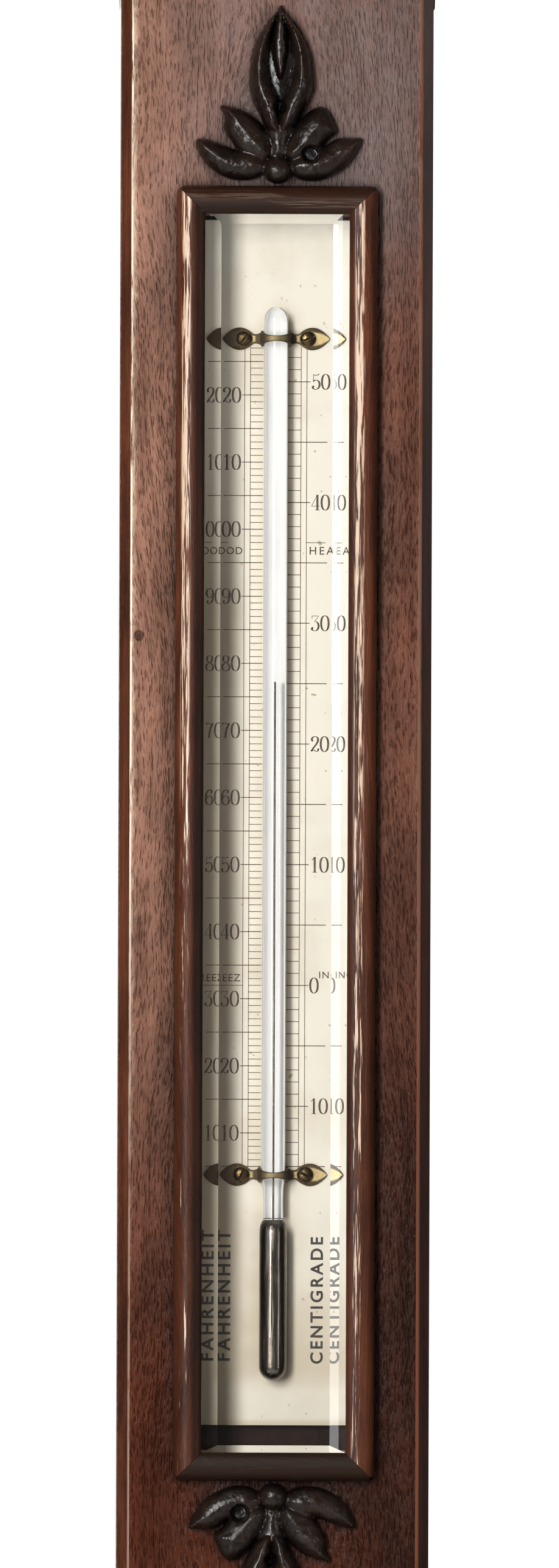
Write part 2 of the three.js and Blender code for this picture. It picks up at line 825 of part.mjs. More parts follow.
function hangingPlate() {
  const foot = hangerFoot;
  const eye = hangerHoleRadius + hangerRim;
  const bar = block(0, (foot + hangerPlace) / 2, hangerWidth, hangerPlace - foot, 0, hangerThickness);
  return cut(
    join(bar, rod(0, hangerPlace, eye, 0, hangerThickness, middleSteps)),
    rod(0, hangerPlace, hangerHoleRadius, -1, hangerThickness + 1),
    ...hangerScrews.map((y) => backScrewSpace(y))
  );
}

function dialRing() {
  const middle = dialRingRadius - dialRingRoll - 1;
  return cut(
    turned([
      [movementHoleRadius, boardSeat],
      [dialRingRadius, boardSeat],
      [dialRingRadius, boardSeat + 5],
      [dialRingRadius - 1.5, boardSeat + 6],
      ...arc(middle, ringFront - dialRingRoll, dialRingRoll, dialRingRoll, -0.9, quarter, 4),
      [dialSeatRadius, ringFront],
      [dialSeatRadius, ringSeat],
      [movementHoleRadius, ringSeat],
      [movementHoleRadius, boardSeat],
    ]),
    ...canScrews.map(([x, y]) => sinkScrewSpace(flangeFront).translate(x, y, 0))
  );
}

function movementCan() {
  const inner = canRadius - canWall;
  const can = turned([
    [0, canBackGap],
    [canRadius, canBackGap],
    [canRadius, flangeFoot],
    [flangeRadius, flangeFoot],
    [flangeRadius, flangeFront],
    [inner, flangeFront],
    [inner, canInside],
    [0, canInside],
  ]);
  return cut(
    can,
    rod(-springPivot, 0, adjusterRadius + pivotGap, canBackGap - 1, canInside + 1),
    ...canScrews.map(([x, y]) => sinkScrewSpace(flangeFront).translate(x, y, 0))
  );
}

// The base plate, with the two ears that carry the rocking shaft
function basePlate() {
  const ears = [-1, 1].map((side) => {
    const middle = side * (rockerHalfLength - earThickness / 2 - looseGap);
    return block(rockerPlace, middle, earLength, earThickness, baseFront - 1, rockerAxis + earLength / 2);
  });
  const circle = new THREE.Shape().absarc(0, 0, rockerRadius + pivotGap, 0, Math.PI * 2);
  const bore = upright(circle, -2 * rockerHalfLength, 2 * rockerHalfLength, 6);
  return cut(
    join(rod(0, 0, basePlateRadius, baseFoot, baseFront, largeSteps), ...ears),
    bore.translate(rockerPlace, 0, rockerAxis),
    rod(-springPivot, 0, adjusterRadius + pivotGap, baseFoot - 1, baseFront + 1)
  );
}

function capsule() {
  const span = capsuleRadius - capsuleFootRadius;
  const wave = (i, height) => [
    capsuleRadius - (span * (i + 0.5)) / (2 * capsuleWaves),
    height + (i % 2 ? waveHeight : 0) * (height > capsuleBack ? -1 : 1),
  ];
  const count = 2 * capsuleWaves;
  const front = Array.from({ length: count }, (_, i) => wave(i, capsuleFront));
  const back = Array.from({ length: count }, (_, i) => wave(count - 1 - i, capsuleBack));
  return turned(
    [
      [0, capsuleFoot],
      [capsuleFootRadius, capsuleFoot],
      [capsuleFootRadius, capsuleBack],
      ...back,
      [capsuleRadius, capsuleBack + 2],
      [capsuleRadius, capsuleFront - 2],
      ...front,
      [capsuleFootRadius, capsuleFront],
      [0, capsuleFront],
    ],
    middleSteps
  );
}

const capsuleStud = () =>
  turned(
    [
      [0, studFoot],
      [studRadius, studFoot],
      [studRadius * 0.6, studFoot + 1],
      [studRadius * 0.6, studFoot + studHeight],
      [0, studFoot + studHeight],
    ],
    smallSteps
  );

function springBracket() {
  const top = springBack - pivotGap;
  const post = block(-springPivot, 0, springPostLength, springPostWidth, baseFront + glueGap, top);
  const tool = rod(-springPivot, 0, adjusterRadius + pivotGap, baseFoot, adjusterFront + looseGap);
  return cut(post, tool);
}

function mainSpring() {
  const start = -springPivot - springPostLength / 2;
  const half = springWidth / 2;
  const tip = half * 0.35;
  const shape = outline([
    [start, -half],
    [0, -half * 0.7],
    [springReach, -tip],
    [springReach, tip],
    [0, half * 0.7],
    [start, half],
  ]);
  return slab(shape, springBack, springFront);
}

// The main arm lies on the spring, and its pin reaches back to the crank of the rocking shaft
function mainArm() {
  const pinRadius = armWidth / 6;
  const end = linkPlace + armWidth / 2;
  const strip = block((end - armTail) / 2, 0, end + armTail, armWidth, armBack, armFront);
  const pinFoot = rockerAxis + rockerArmThickness / 2 + looseGap;
  return join(strip, rod(linkPlace, 0, pinRadius, pinFoot, armFront - armThickness / 2, 10));
}

function rockingShaft() {
  const circle = new THREE.Shape().absarc(0, 0, rockerRadius, 0, Math.PI * 2);
  const shaft = upright(circle, -rockerHalfLength, rockerHalfLength, 6).translate(0, 0, rockerAxis);
  const half = rockerArmThickness / 2;
  const crankReach = crankLength + armWidth / 4;
  const crank = block(-crankReach / 2, 0, crankReach, rockerArmWidth, rockerAxis - half, rockerAxis + half);
  const chainArmFront = chainAxis + chainThickness * 2;
  const chainArm = block(0, -chainOffset, rockerArmThickness, rockerArmWidth, rockerAxis, chainArmFront);
  return join(shaft, crank, chainArm).translate(rockerPlace, 0, 0);
}

function chain() {
  const end = rockerPlace - rockerArmThickness / 2 - pivotGap;
  const half = chainThickness / 2;
  return block(end / 2, -chainOffset, end, chainThickness, chainAxis - half, chainAxis + half);
}

function arbor() {
  const drumBack = chainAxis - drumHeight / 2;
  const drumFront = chainAxis + drumHeight / 2;
  const collarFront = collarBack + collarHeight;
  return turned(
    [
      [0, armFront + arborLift],
      [arborRadius, armFront + arborLift],
      [arborRadius, drumBack],
      [drumRadius, drumBack],
      [drumRadius, drumFront],
      [arborRadius, drumFront],
      [arborRadius, collarBack],
      [collarRadius, collarBack],
      [collarRadius, collarFront],
      [arborFrontRadius, collarFront],
      [arborFrontRadius, arborFront],
      [0, arborFront],
    ],
    smallSteps
  );
}

function arborBridge() {
  const overhang = bridgePillarRadius * 1.6;
  const bar = block(0, 0, bridgeWidth, 2 * (bridgePillarPlace + overhang), bridgeBack, bridgeFront);
  const pillarTop = bridgeBack + bridgeThickness / 2;
  const pillars = [-1, 1].map((side) =>
    rod(0, side * bridgePillarPlace, bridgePillarRadius, baseFront + glueGap, pillarTop)
  );
  const postPlace = hairspringOuter + hairspringWire / 2 + pivotGap + hairspringPostRadius;
  const postFoot = bridgeBack + bridgeThickness / 2;
  const post = rod(0, postPlace, hairspringPostRadius, postFoot, collarBack + collarHeight, 10);
  const hole = rod(0, 0, arborRadius + pivotGap, bridgeBack - 1, bridgeFront + 1);
  return cut(join(bar, post, ...pillars), hole);
}

// A flat spiral that starts at the arbor's collar and ends at the post on the bridge
function hairspring() {
  const steps = hairspringTurns * 12;
  const points = Array.from({ length: steps + 1 }, (_, i) => {
    const turn = (i / steps) * hairspringTurns;
    const radius = hairspringInner + turn * hairspringPitch;
    const angle = quarter + turn * Math.PI * 2;
    return new THREE.Vector3(radius * Math.cos(angle), radius * Math.sin(angle), 0);
  });
  const halfWire = hairspringWire / 2;
  const inner = points.map((point) => point.clone().setLength(point.length() - halfWire));
  const outer = points.map((point) => point.clone().setLength(point.length() + halfWire));
  const edge = [...outer, ...inner.reverse()];
  const back = collarBack + glueGap;
  return slab(outline(edge.map((point) => [point.x, point.y])), back, back + hairspringHeight);
}

function dial() {
  return ring(dialHoleRadius, dialRadius, dialFoot, dialFront);
}

// A hand that points up: a slim blade, a hub and a tail with a round weight
function pointer(length, tail, hubRadius, pinRadius, back) {
  const front = back + handThickness;
  const half = handWidth / 2;
  const blade = outline([
    [-half, 0],
    [-half * 0.4, -tail],
    [half * 0.4, -tail],
    [half, 0],
    [half / 6, length],
    [-half / 6, length],
  ]);
  return cut(
    join(
      slab(blade, back, front),
      rod(0, 0, hubRadius, back, front),
      rod(0, -tail, handWidth * 1.3, back, front)
    ),
    rod(0, 0, pinRadius + glueGap, back - 1, front + 1)
  );
}

function sightRing() {
  const inner = dialRadius - sightRingWidth;
  const front = sightRingFoot + sightRingHeight;
  return turned([
    [inner, sightRingFoot],
    [dialRadius, sightRingFoot],
    [dialRadius, front],
    [dialRadius - 1, front],
    [inner, sightRingFoot + sightRingBase],
    [inner, sightRingFoot],
  ]);
}

function dialGlass() {
  return turned([
    [dialGlassHoleRadius, dialGlassFoot],
    [dialRadius, dialGlassFoot],
    [dialRadius, dialGlassFoot + dialGlassEdge],
    [dialRadius - dialGlassBevelWidth, dialGlassFront],
    [dialGlassHoleRadius, dialGlassFront],
    [dialGlassHoleRadius, dialGlassFoot],
  ]);
}

// The bezel stands in the ring's rebate, holds the glass under its lip and covers the joint
function bezel() {
  const lip = bezelBore - bezelLip;
  const outer = dialSeatRadius - glueGap;
  const cover = outer + bezelCover;
  const underLip = dialGlassFront + glueGap;
  const middle = (lip + cover) / 2;
  const foot = ringFront + glueGap;
  return turned([
    [bezelBore, dialFoot],
    [outer, dialFoot],
    [outer, foot],
    [cover, foot],
    [cover, foot + 0.8],
    ...arc(middle, foot + 0.8, cover - middle - 0.8, bezelFront - foot - 0.8, 0.1, quarter + 0.8, 4),
    [lip, underLip + 0.7],
    [lip, underLip],
    [bezelBore, underLip],
    [bezelBore, dialFoot],
  ]);
}

function setKnob() {
  const foot = dialGlassFront + glueGap;
  const knob = turned(
    [
      [0, setHandBack - looseGap],
      [setHandPinRadius, setHandBack - looseGap],
      [setHandPinRadius, setHandFront + glueGap],
      [spindleRadius, setHandFront + glueGap],
      [spindleRadius, foot],
      [knobRadius * 0.8, foot],
      [knobRadius * 0.8, foot + 1],
      [knobRadius, foot + 2],
      [knobRadius, foot + knobHeight - 1],
      [knobRadius - 1, foot + knobHeight],
      [0, foot + knobHeight],
    ],
    knobFlutes * 2
  );
  return reshape(knob, (point) => {
    if (point.z < foot + 1.5) return;
    const flute = Math.cos(Math.atan2(point.y, point.x) * knobFlutes) > 0 ? 1 : 0.93;
    point.x *= flute;
    point.y *= flute;
  });
}

function adjustingScrew() {
  const top = adjusterHeadHeight + looseGap;
  const body = turned(
    [
      [0, looseGap],
      [adjusterHeadRadius, looseGap],
      [adjusterHeadRadius, top],
      [adjusterRadius, top],
      [adjusterRadius, adjusterFront],
      [0, adjusterFront],
    ],
    smallSteps
  );
  const slot = block(0, 0, adjusterHeadRadius * 3, adjusterSlot, -1, looseGap + adjusterHeadHeight / 2);
  return cut(body, slot).translate(-springPivot, 0, 0);
}

// Case
place('case_board', caseBoard(), oak);
place('shoulder_left', shoulder(-1), oak);
place('shoulder_right', shoulder(1), oak);
place('apron', apron(), oak);
place('apron_carving', apronCarving(), carvedOak);
place('drop_finial', dropFinial().translate(0, dialPlace, 0), oak);
place('upper_carving', huskOrnament(boardSeat).translate(0, carvingPlace, 0), carvedOak);
place('lower_carving', huskOrnament(boardSeat).rotateZ(Math.PI).translate(0, -carvingPlace, 0), carvedOak);

// Pediment
const friezeMiddle = friezeFoot + friezeHeight / 2;
place('frieze_board', block(0, friezeMiddle, 2 * friezeX, friezeHeight, 0, boardThickness), oak);
place('bracket_left', bracket(-1), oak);
place('bracket_right', bracket(1), oak);
place('dentil_strip', dentilStrip(), mouldedOak);
place('cornice', cornice(), mouldedOak);
place('tympanum', tympanum(), oak);
place('rosette', rosette(), carvedOak);
place('rake_left', rake(-corniceX, -mitreGap), mouldedOak);
place('rake_right', rake(mitreGap, corniceX), mouldedOak);
place('hanging_plate', hangingPlate(), brass);
hangerScrews.forEach((y, i) => {
  place(`hanging_screw_${i + 1}`, sinkScrew(0).rotateY(Math.PI).translate(0, y, 0), steel);
});

// Thermometer box
place('box_moulding_right', boxMoulding(boxInnerX, boxInnerY, glassSideLap, 0), mouldedOak);
place('box_moulding_top', boxMoulding(boxInnerY, boxInnerX, glassTopLap, quarter), mouldedOak);
place('box_moulding_left', boxMoulding(boxInnerX, boxInnerY, glassSideLap, Math.PI), mouldedOak);
place('box_moulding_bottom', boxMoulding(boxInnerY, boxInnerX, glassFootLap, -quarter), mouldedOak);
place('box_glass', boxGlass(), clearGlass);
place('scale_plate', scalePlate(), ivory);
place('thermometer_stem', thermometerStem(), enamel);
place('thermometer_bulb', thermometerBulb(), clearGlass);
place('mercury', mercury(), quicksilver);
place('clip_upper', clip(clipUpperPlace), agedBrass);
place('clip_lower', clip(clipLowerPlace), agedBrass);
clipScrews.forEach((spot, i) => place(`clip_screw_${i + 1}`, clipScrew(spot), agedBrass));

// Dial and bezel
place('dial_ring', dialRing(), mouldedOak, dialGroup);
place('movement_can', movementCan(), brass, dialGroup);
canScrews.forEach(([x, y], i) => {
  place(`can_screw_${i + 1}`, sinkScrew(flangeFront).translate(x, y, 0), steel, dialGroup);
});
place('dial', dial(), ivory, dialGroup);
place('sight_ring', sightRing(), brass, dialGroup);
place('dial_glass', dialGlass(), clearGlass, dialGroup);
place('bezel', bezel(), brass, dialGroup);

// Movement
place('base_plate', basePlate(), brass, dialGroup);
place('adjusting_screw', adjustingScrew(), steel, dialGroup);
place('capsule', capsule(), brass, dialGroup);
place('capsule_stud', capsuleStud(), steel, dialGroup);
place('spring_bracket', springBracket(), brass, dialGroup);
place('main_spring', mainSpring(), bluedSteel, dialGroup);
place('main_arm', mainArm(), steel, dialGroup);
place('rocking_shaft', rockingShaft(), steel, dialGroup);
place('chain', chain(), steel, dialGroup);
place('arbor', arbor(), steel, dialGroup);
place('arbor_bridge', arborBridge(), brass, dialGroup);
place('hairspring', hairspring(), bluedSteel, dialGroup);
const hand = pointer(dialRadius - handMargin, handTail, handHubRadius, arborFrontRadius, handBack);
place('hand', hand, bluedSteel, dialGroup);
const setLength = dialRadius - setHandMargin;
const setHand = pointer(setLength, setHandTail, spindleRadius, setHandPinRadius, setHandBack);
place('set_hand', setHand.rotateZ((setHandAngle * Math.PI) / 180), brass, dialGroup);
place('set_knob', setKnob(), brass, dialGroup);

export default barometer;
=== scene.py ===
"""A pediment barometer in fumed oak, dressed round its frame.

Shapes are worked out in the front view, in millimetres: x to the right, y up and z out of the wall,
with y = 0 at the middle of the thermometer box. The function row turns such a point into the frame.
"""

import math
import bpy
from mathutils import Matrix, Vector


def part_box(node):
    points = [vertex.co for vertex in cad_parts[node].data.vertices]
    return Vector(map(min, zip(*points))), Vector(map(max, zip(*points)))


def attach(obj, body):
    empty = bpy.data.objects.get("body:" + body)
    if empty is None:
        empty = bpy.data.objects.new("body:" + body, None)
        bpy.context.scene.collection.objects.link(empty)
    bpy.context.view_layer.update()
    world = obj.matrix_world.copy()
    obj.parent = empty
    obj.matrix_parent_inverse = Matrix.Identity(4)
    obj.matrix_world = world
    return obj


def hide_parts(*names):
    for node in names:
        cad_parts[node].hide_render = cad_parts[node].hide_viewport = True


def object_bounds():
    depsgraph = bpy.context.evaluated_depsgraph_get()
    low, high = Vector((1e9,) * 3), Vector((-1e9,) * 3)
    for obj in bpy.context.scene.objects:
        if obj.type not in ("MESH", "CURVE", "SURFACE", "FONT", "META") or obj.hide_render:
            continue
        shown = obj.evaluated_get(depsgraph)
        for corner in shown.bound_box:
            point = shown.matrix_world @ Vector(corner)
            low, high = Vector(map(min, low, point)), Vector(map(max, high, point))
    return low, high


bl_info = {
    "name": "Pediment barometer",
    "version": (1, 0, 0),
    "blender": (4, 5, 0),
    "location": "3D View > Sidebar > Barometer",
    "description": "Dresses the frame of an oak barometer with a boxed thermometer and a round dial",
    "category": "Object",
}

import bmesh
import bpy
import numpy as np
from bpy.props import FloatProperty, FloatVectorProperty, PointerProperty
from mathutils import Matrix, Vector

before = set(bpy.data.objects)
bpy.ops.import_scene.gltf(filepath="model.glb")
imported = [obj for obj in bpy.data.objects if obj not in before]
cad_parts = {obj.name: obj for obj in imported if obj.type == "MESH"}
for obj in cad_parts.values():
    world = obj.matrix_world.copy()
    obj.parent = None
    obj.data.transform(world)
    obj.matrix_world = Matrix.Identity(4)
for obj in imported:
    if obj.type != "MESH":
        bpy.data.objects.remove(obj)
cad_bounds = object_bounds()

MM = 0.001
QUARTER = math.pi / 2


# Places, taken from the frame


def middle_height():
    """Height in the frame of the middle of the thermometer box."""
    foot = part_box("box_moulding_bottom")[0].z
    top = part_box("box_moulding_top")[1].z
    return (foot + top) / 2


BOX_MIDDLE = middle_height()


def row(x, y, z):
    """A point of the front view in the frame."""
    return Vector((x * MM, -z * MM, y * MM + BOX_MIDDLE))


def front_box(node):
    """Lowest and highest corner of a node in the front view, in millimetres."""
    low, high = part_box(node)
    return (
        Vector((low.x, low.z - BOX_MIDDLE, -high.y)) / MM,
        Vector((high.x, high.z - BOX_MIDDLE, -low.y)) / MM,
    )


CASE_HIGH = front_box("case_board")[1]
PLATE_FRONT = front_box("scale_plate")[1].z
GLASS_LOW, GLASS_HIGH = front_box("box_glass")
DIAL_LOW, DIAL_HIGH = front_box("dial")
FRIEZE_FOOT = front_box("frieze_board")[0].y
DIAL_MIDDLE = (DIAL_LOW.y + DIAL_HIGH.y) / 2


# Settings that a user may change


def length_setting(name, description, default):
    """A length in millimetres."""
    return FloatProperty(name=name, description=description, default=default, min=0.0)


def share_setting(name, description, default):
    """A share from 0 to 1."""
    limits = {"min": 0.0, "max": 1.0, "subtype": "FACTOR"}
    return FloatProperty(name=name, description=description, default=default, **limits)


def angle_setting(name, description, default):
    """An angle in radians."""
    return FloatProperty(name=name, description=description, default=default, subtype="ANGLE")


def colour_setting(name, description, red, green, blue):
    """A colour given as screen values from 0 to 255."""
    linear = [screen_to_linear(value / 255) for value in (red, green, blue)]
    limits = {"size": 4, "min": 0.0, "max": 1.0, "subtype": "COLOR"}
    return FloatVectorProperty(name=name, description=description, default=(*linear, 1.0), **limits)


def screen_to_linear(value):
    """Linear light of a screen value from 0 to 1."""
    return value / 12.92 if value <= 0.04045 else ((value + 0.055) / 1.055) ** 2.4


class BarometerSizes(bpy.types.PropertyGroup):
    """Sizes in millimetres, and shares, of what the frame leaves open."""

    arris: length_setting("Arris", "Width of the softened edges of the boards", 0.5)
    rail_corner: length_setting("Rail corner", "Radius of the outer corners of the box moulding", 1.6)
    thread_width: length_setting("Thread width", "Width of the mercury thread in the stem", 0.3)
    ink_line: length_setting("Ink line", "Width of the fine lines of the scales", 0.14)
    ink_height: length_setting("Ink height", "How far the filled lines stand proud of the plate", 0.02)
    number_height: length_setting("Number height", "Height of the numbers on the thermometer scale", 3.4)
    carving_relief: length_setting("Carving relief", "Height of the carved husks over their board", 5.6)
    # The wear setting also scales the painted highlight on the arrises
    wear: share_setting("Wear", "How far edges and crests are rubbed pale", 0.6)
    # Sets how dark the painted shade and dirt in corners are
    grime: share_setting("Grime", "How dark the dirt in the corners is", 0.75)


class BarometerColours(bpy.types.PropertyGroup):
    """Colours of the finishes."""

    # The boards' light and dark oak are their colours where painted light is strongest; elsewhere the
    # painted-shade tint darkens them
    oak_light: colour_setting("Oak, light", "Late wood of the boards where light has faded it", 156, 112, 93)
    oak_dark: colour_setting("Oak, dark", "Early wood of the boards where light has faded it", 130, 91, 74)
    oak_pore: colour_setting("Oak, pores", "Open pores of the boards", 52, 30, 22)
    oak_deep: colour_setting("Oak, unfaded", "Tint over the boards where no light faded them", 142, 98, 70)
    # Painted grey sheen over the boards round the upper carving
    bloom: colour_setting("Bloom", "Dust over the boards round the upper carving", 124, 106, 102)
    moulding_light: colour_setting("Moulding, light", "Late wood of the mouldings", 110, 60, 38)
    moulding_dark: colour_setting("Moulding, dark", "Early wood of the mouldings", 66, 34, 22)
    # Also the colour of the painted highlights on the rails' crests and beside the shaft's left edge
    rubbed: colour_setting("Rubbed oak", "Oak where the finish is rubbed away", 226, 196, 170)
    # Pale of the arrises: bare wood, and a painted highlight on the left
    bare_edge: colour_setting("Bare edge", "Edges of the boards where the wood shows", 252, 236, 214)
    carving: colour_setting("Carving", "Dark polish of the carved ornament", 38, 26, 19)
    brass: colour_setting("Brass", "Polished brass", 214, 182, 118)
    pale_brass: colour_setting("Pale brass", "Old lacquered brass of the clips' ears", 198, 176, 128)
    olive: colour_setting("Olive", "Dull patches of the clips' ears", 124, 100, 66)
    tarnish: colour_setting("Tarnish", "Darkened brass", 84, 66, 44)
    steel: colour_setting("Steel", "Bare steel", 150, 150, 152)
    blued_steel: colour_setting("Blued steel", "Blued steel of the hand and springs", 28, 33, 52)
    ivory: colour_setting("Ivory", "Ground of the thermometer scale", 247, 240, 225)
    stain: colour_setting("Stain", "Age stains on scale and dial", 176, 150, 108)
    # Also the painted shadow along the left of the scale plate
    soot: colour_setting("Soot", "Dirt along the left edge of the scale plate", 132, 116, 92)
    ink: colour_setting("Ink", "Filled lines, numbers and words", 70, 54, 41)
    fresh_ink: colour_setting("Fresh ink", "Bold words at the foot of the thermometer scale", 34, 26, 20)
    enamel: colour_setting("Enamel", "White enamel behind the bore of the stem", 243, 242, 242)
    mercury: colour_setting("Mercury", "Mercury in bulb and bore", 118, 108, 100)
    glass: colour_setting("Glass", "Tint of the glass", 252, 252, 250)
    floor: colour_setting("Floor", "Pale floor", 236, 236, 236)


def sizes():
    """The lengths and shares that a user may change."""
    return bpy.context.scene.barometer_sizes


def colours():
    """The colours that a user may change."""
    return bpy.context.scene.barometer_colours


# Shader nodes


class Wire:
    """An output of a shader node. Sums and products of wires add nodes to their tree."""

    def __init__(self, tree, socket):
        self.tree = tree
        self.socket = socket

    def math(self, operation, other=0.5, clamp=False):
        return wire(self.tree, "ShaderNodeMath", {0: self, 1: other}, operation=operation, use_clamp=clamp)

    def __add__(self, other):
        return self.math("ADD", other)

    def __sub__(self, other):
        return self.math("SUBTRACT", other)

    def __rsub__(self, other):
        return wire(self.tree, "ShaderNodeMath", {0: other, 1: self}, operation="SUBTRACT")

    def __mul__(self, other):
        return self.math("MULTIPLY", other)

    def fade(self, start, end, low=0.0, high=1.0):
        """A smooth step from low at start to high at end."""
        values = {"Value": self, "From Min": start, "From Max": end, "To Min": low, "To Max": high}
        return wire(self.tree, "ShaderNodeMapRange", values, interpolation_type="SMOOTHSTEP")

    def bump(self, depth):
        """A normal from a height, with its depth in millimetres."""
        return wire(self.tree, "ShaderNodeBump", {"Height": self, "Distance": depth * MM, "Strength": 1.0})

    def vector(self, operation, other, output=0):
        return wire(self.tree, "ShaderNodeVectorMath", {0: self, 1: other}, output, operation=operation)

    def scaled(self, factor):
        return wire(self.tree, "ShaderNodeVectorMath", {0: self, "Scale": factor}, operation="SCALE")

    def part(self, axis):
        return wire(self.tree, "ShaderNodeSeparateXYZ", {"Vector": self}, axis)

    def height(self):
        """Height of a place over the middle of the thermometer box, in millimetres."""
        return self.part("Z") - BOX_MIDDLE / MM

    def mapped(self, name, value):
        return wire(self.tree, "ShaderNodeMapping", {"Vector": self, name: value}, vector_type="POINT")

    def drawn(self, share):
        """A place whose patterns are drawn out along the grain, the more so the smaller the share."""
        return self.mapped("Scale", (1, 1, share))

    def noise(self, scale, detail, roughness=0.55):
        values = {"Vector": self, "Scale": scale, "Detail": detail, "Roughness": roughness}
        return wire(self.tree, "ShaderNodeTexNoise", values)

    def cells(self, scale):
        """Distance to the nearest border in a net of cells."""
        values = {"Vector": self, "Scale": scale}
        return wire(self.tree, "ShaderNodeTexVoronoi", values, "Distance", feature="DISTANCE_TO_EDGE")


def add(tree, kind, values, **settings):
    """Adds a node, sets its properties, and fills or links its inputs."""
    made = tree.nodes.new(kind)
    for name, value in settings.items():
        setattr(made, name, value)
    for name, value in values.items():
        if isinstance(value, Wire):
            tree.links.new(value.socket, made.inputs[name])
        else:
            made.inputs[name].default_value = value
    return made


def wire(tree, kind, values=None, output=0, **settings):
    """Adds a node and returns one of its outputs."""
    return Wire(tree, add(tree, kind, values or {}, **settings).outputs[output])


def mix(factor, first, second, mode="MIX"):
    """Mixes two colours. At least one of the three is a wire."""
    tree = next(each.tree for each in (factor, first, second) if isinstance(each, Wire))
    values = {0: factor, 6: first, 7: second}
    return wire(tree, "ShaderNodeMix", values, 2, data_type="RGBA", blend_type=mode)


def largest(first, *others):
    """The largest of some masks."""
    for each in others:
        first = first.math("MAXIMUM", each)
    return first


def new_group(name, inputs, outputs):
    """A shader node group. Returns its tree and what comes in."""
    group = bpy.data.node_groups.new(name, "ShaderNodeTree")
    for label, (kind, default) in inputs.items():
        socket = group.interface.new_socket(name=label, in_out="INPUT", socket_type=kind)
        if default is not None:
            socket.default_value = default
    for label, kind in outputs.items():
        group.interface.new_socket(name=label, in_out="OUTPUT", socket_type=kind)
    source = add(group, "NodeGroupInput", {}).outputs
    return group, {label: Wire(group, source[label]) for label in inputs}


def use(tree, name, values):
    """Adds a node group by its name, and returns what comes out."""
    made = add(tree, "ShaderNodeGroup", values, node_tree=bpy.data.node_groups[name])
    return {output.name: Wire(tree, output) for output in made.outputs}


FLOAT = "NodeSocketFloat"
COLOUR = "NodeSocketColor"
VECTOR = "NodeSocketVector"


def oak_grain_group():
    """Oak, with its grain along Z of a vector in millimetres: bands, fibres and open pores."""
    group, source = new_group(
        "Oak grain",
        {
            "Vector": (VECTOR, None),
            "Light": (COLOUR, (0.3, 0.2, 0.1, 1)),
            "Dark": (COLOUR, (0.1, 0.05, 0.03, 1)),
            "Pore": (COLOUR, (0.02, 0.01, 0.01, 1)),
            "Pore Strength": (FLOAT, 1.0),
        },
        {"Color": COLOUR, "Height": FLOAT, "Gloss": FLOAT},
    )
    place, light = source["Vector"], source["Light"]
    drift = (place.drawn(0.25).noise(0.03, 2.0) - 0.5) * 26.0
    wandering = place.vector("ADD", wire(group, "ShaderNodeCombineXYZ", {"X": drift}))
    bands = wandering.drawn(0.03).noise(0.32, 4.0, 0.6)
    fibres = wandering.drawn(0.045).noise(2.4, 3.0, 0.65)
    dashes = wandering.drawn(0.22).noise(1.9, 2.0, 0.5)
    flecks = wandering.drawn(0.2).noise(3.4, 2.0, 0.5).fade(0.5, 0.72, 0.0, 0.5)
    mottle = place.drawn(0.35).noise(0.09, 4.0, 0.6).fade(0.3, 0.7, 0.68, 1.3)
    crowding = bands.fade(0.34, 0.66, 0.05, -0.03)
    pores = (dashes + crowding).fade(0.52, 0.74).math("MULTIPLY", source["Pore Strength"], clamp=True)
    tone = bands * 0.75 + fibres * 0.45
    ground = mix(flecks, mix(tone.fade(0.42, 0.8), source["Dark"], light), light)
    relief = fibres * 0.35 + bands * 0.2 - dashes * source["Pore Strength"]
    ends = {
        "Color": mix(pores * 0.75, ground.scaled(mottle), source["Pore"]),
        "Height": relief - pores * 0.4,
        "Gloss": fibres - pores,
    }
    add(group, "NodeGroupOutput", ends)


def edge_wear_group():
    """Where an edge stands proud, as a broken mask. The bevelled normal leaves the true one there."""
    group, source = new_group(
        "Edge wear",
        {"Vector": (VECTOR, None), "Width": (FLOAT, 0.0006), "Amount": (FLOAT, 0.5)},
        {"Mask": FLOAT},
    )
    rounded = wire(group, "ShaderNodeBevel", {"Radius": source["Width"]}, samples=6)
    normal = wire(group, "ShaderNodeNewGeometry", output="Normal")
    edge = rounded.vector("DOT_PRODUCT", normal, "Value").fade(0.995, 0.93)
    patchy = (source["Vector"].noise(0.55, 4.0, 0.7) + source["Amount"] * 0.35).fade(0.5, 0.72)
    add(group, "NodeGroupOutput", {"Mask": edge.math("MULTIPLY", patchy, clamp=True)})


def grime_group():
    """Painted shade and dirt in corners, from how closed in a point is."""
    group, source = new_group(
        "Grime",
        {"Vector": (VECTOR, None), "Reach": (FLOAT, 0.006), "Amount": (FLOAT, 0.7)},
        {"Mask": FLOAT},
    )
    open_share = wire(group, "ShaderNodeAmbientOcclusion", {"Distance": source["Reach"]}, "AO", samples=6)
    ragged = (1.0 - open_share) + (source["Vector"].noise(0.18, 3.0) - 0.5) * 0.3
    shaded_and_dirty = ragged.fade(0.1, 0.55).math("MULTIPLY", source["Amount"], clamp=True)
    add(group, "NodeGroupOutput", {"Mask": shaded_and_dirty})


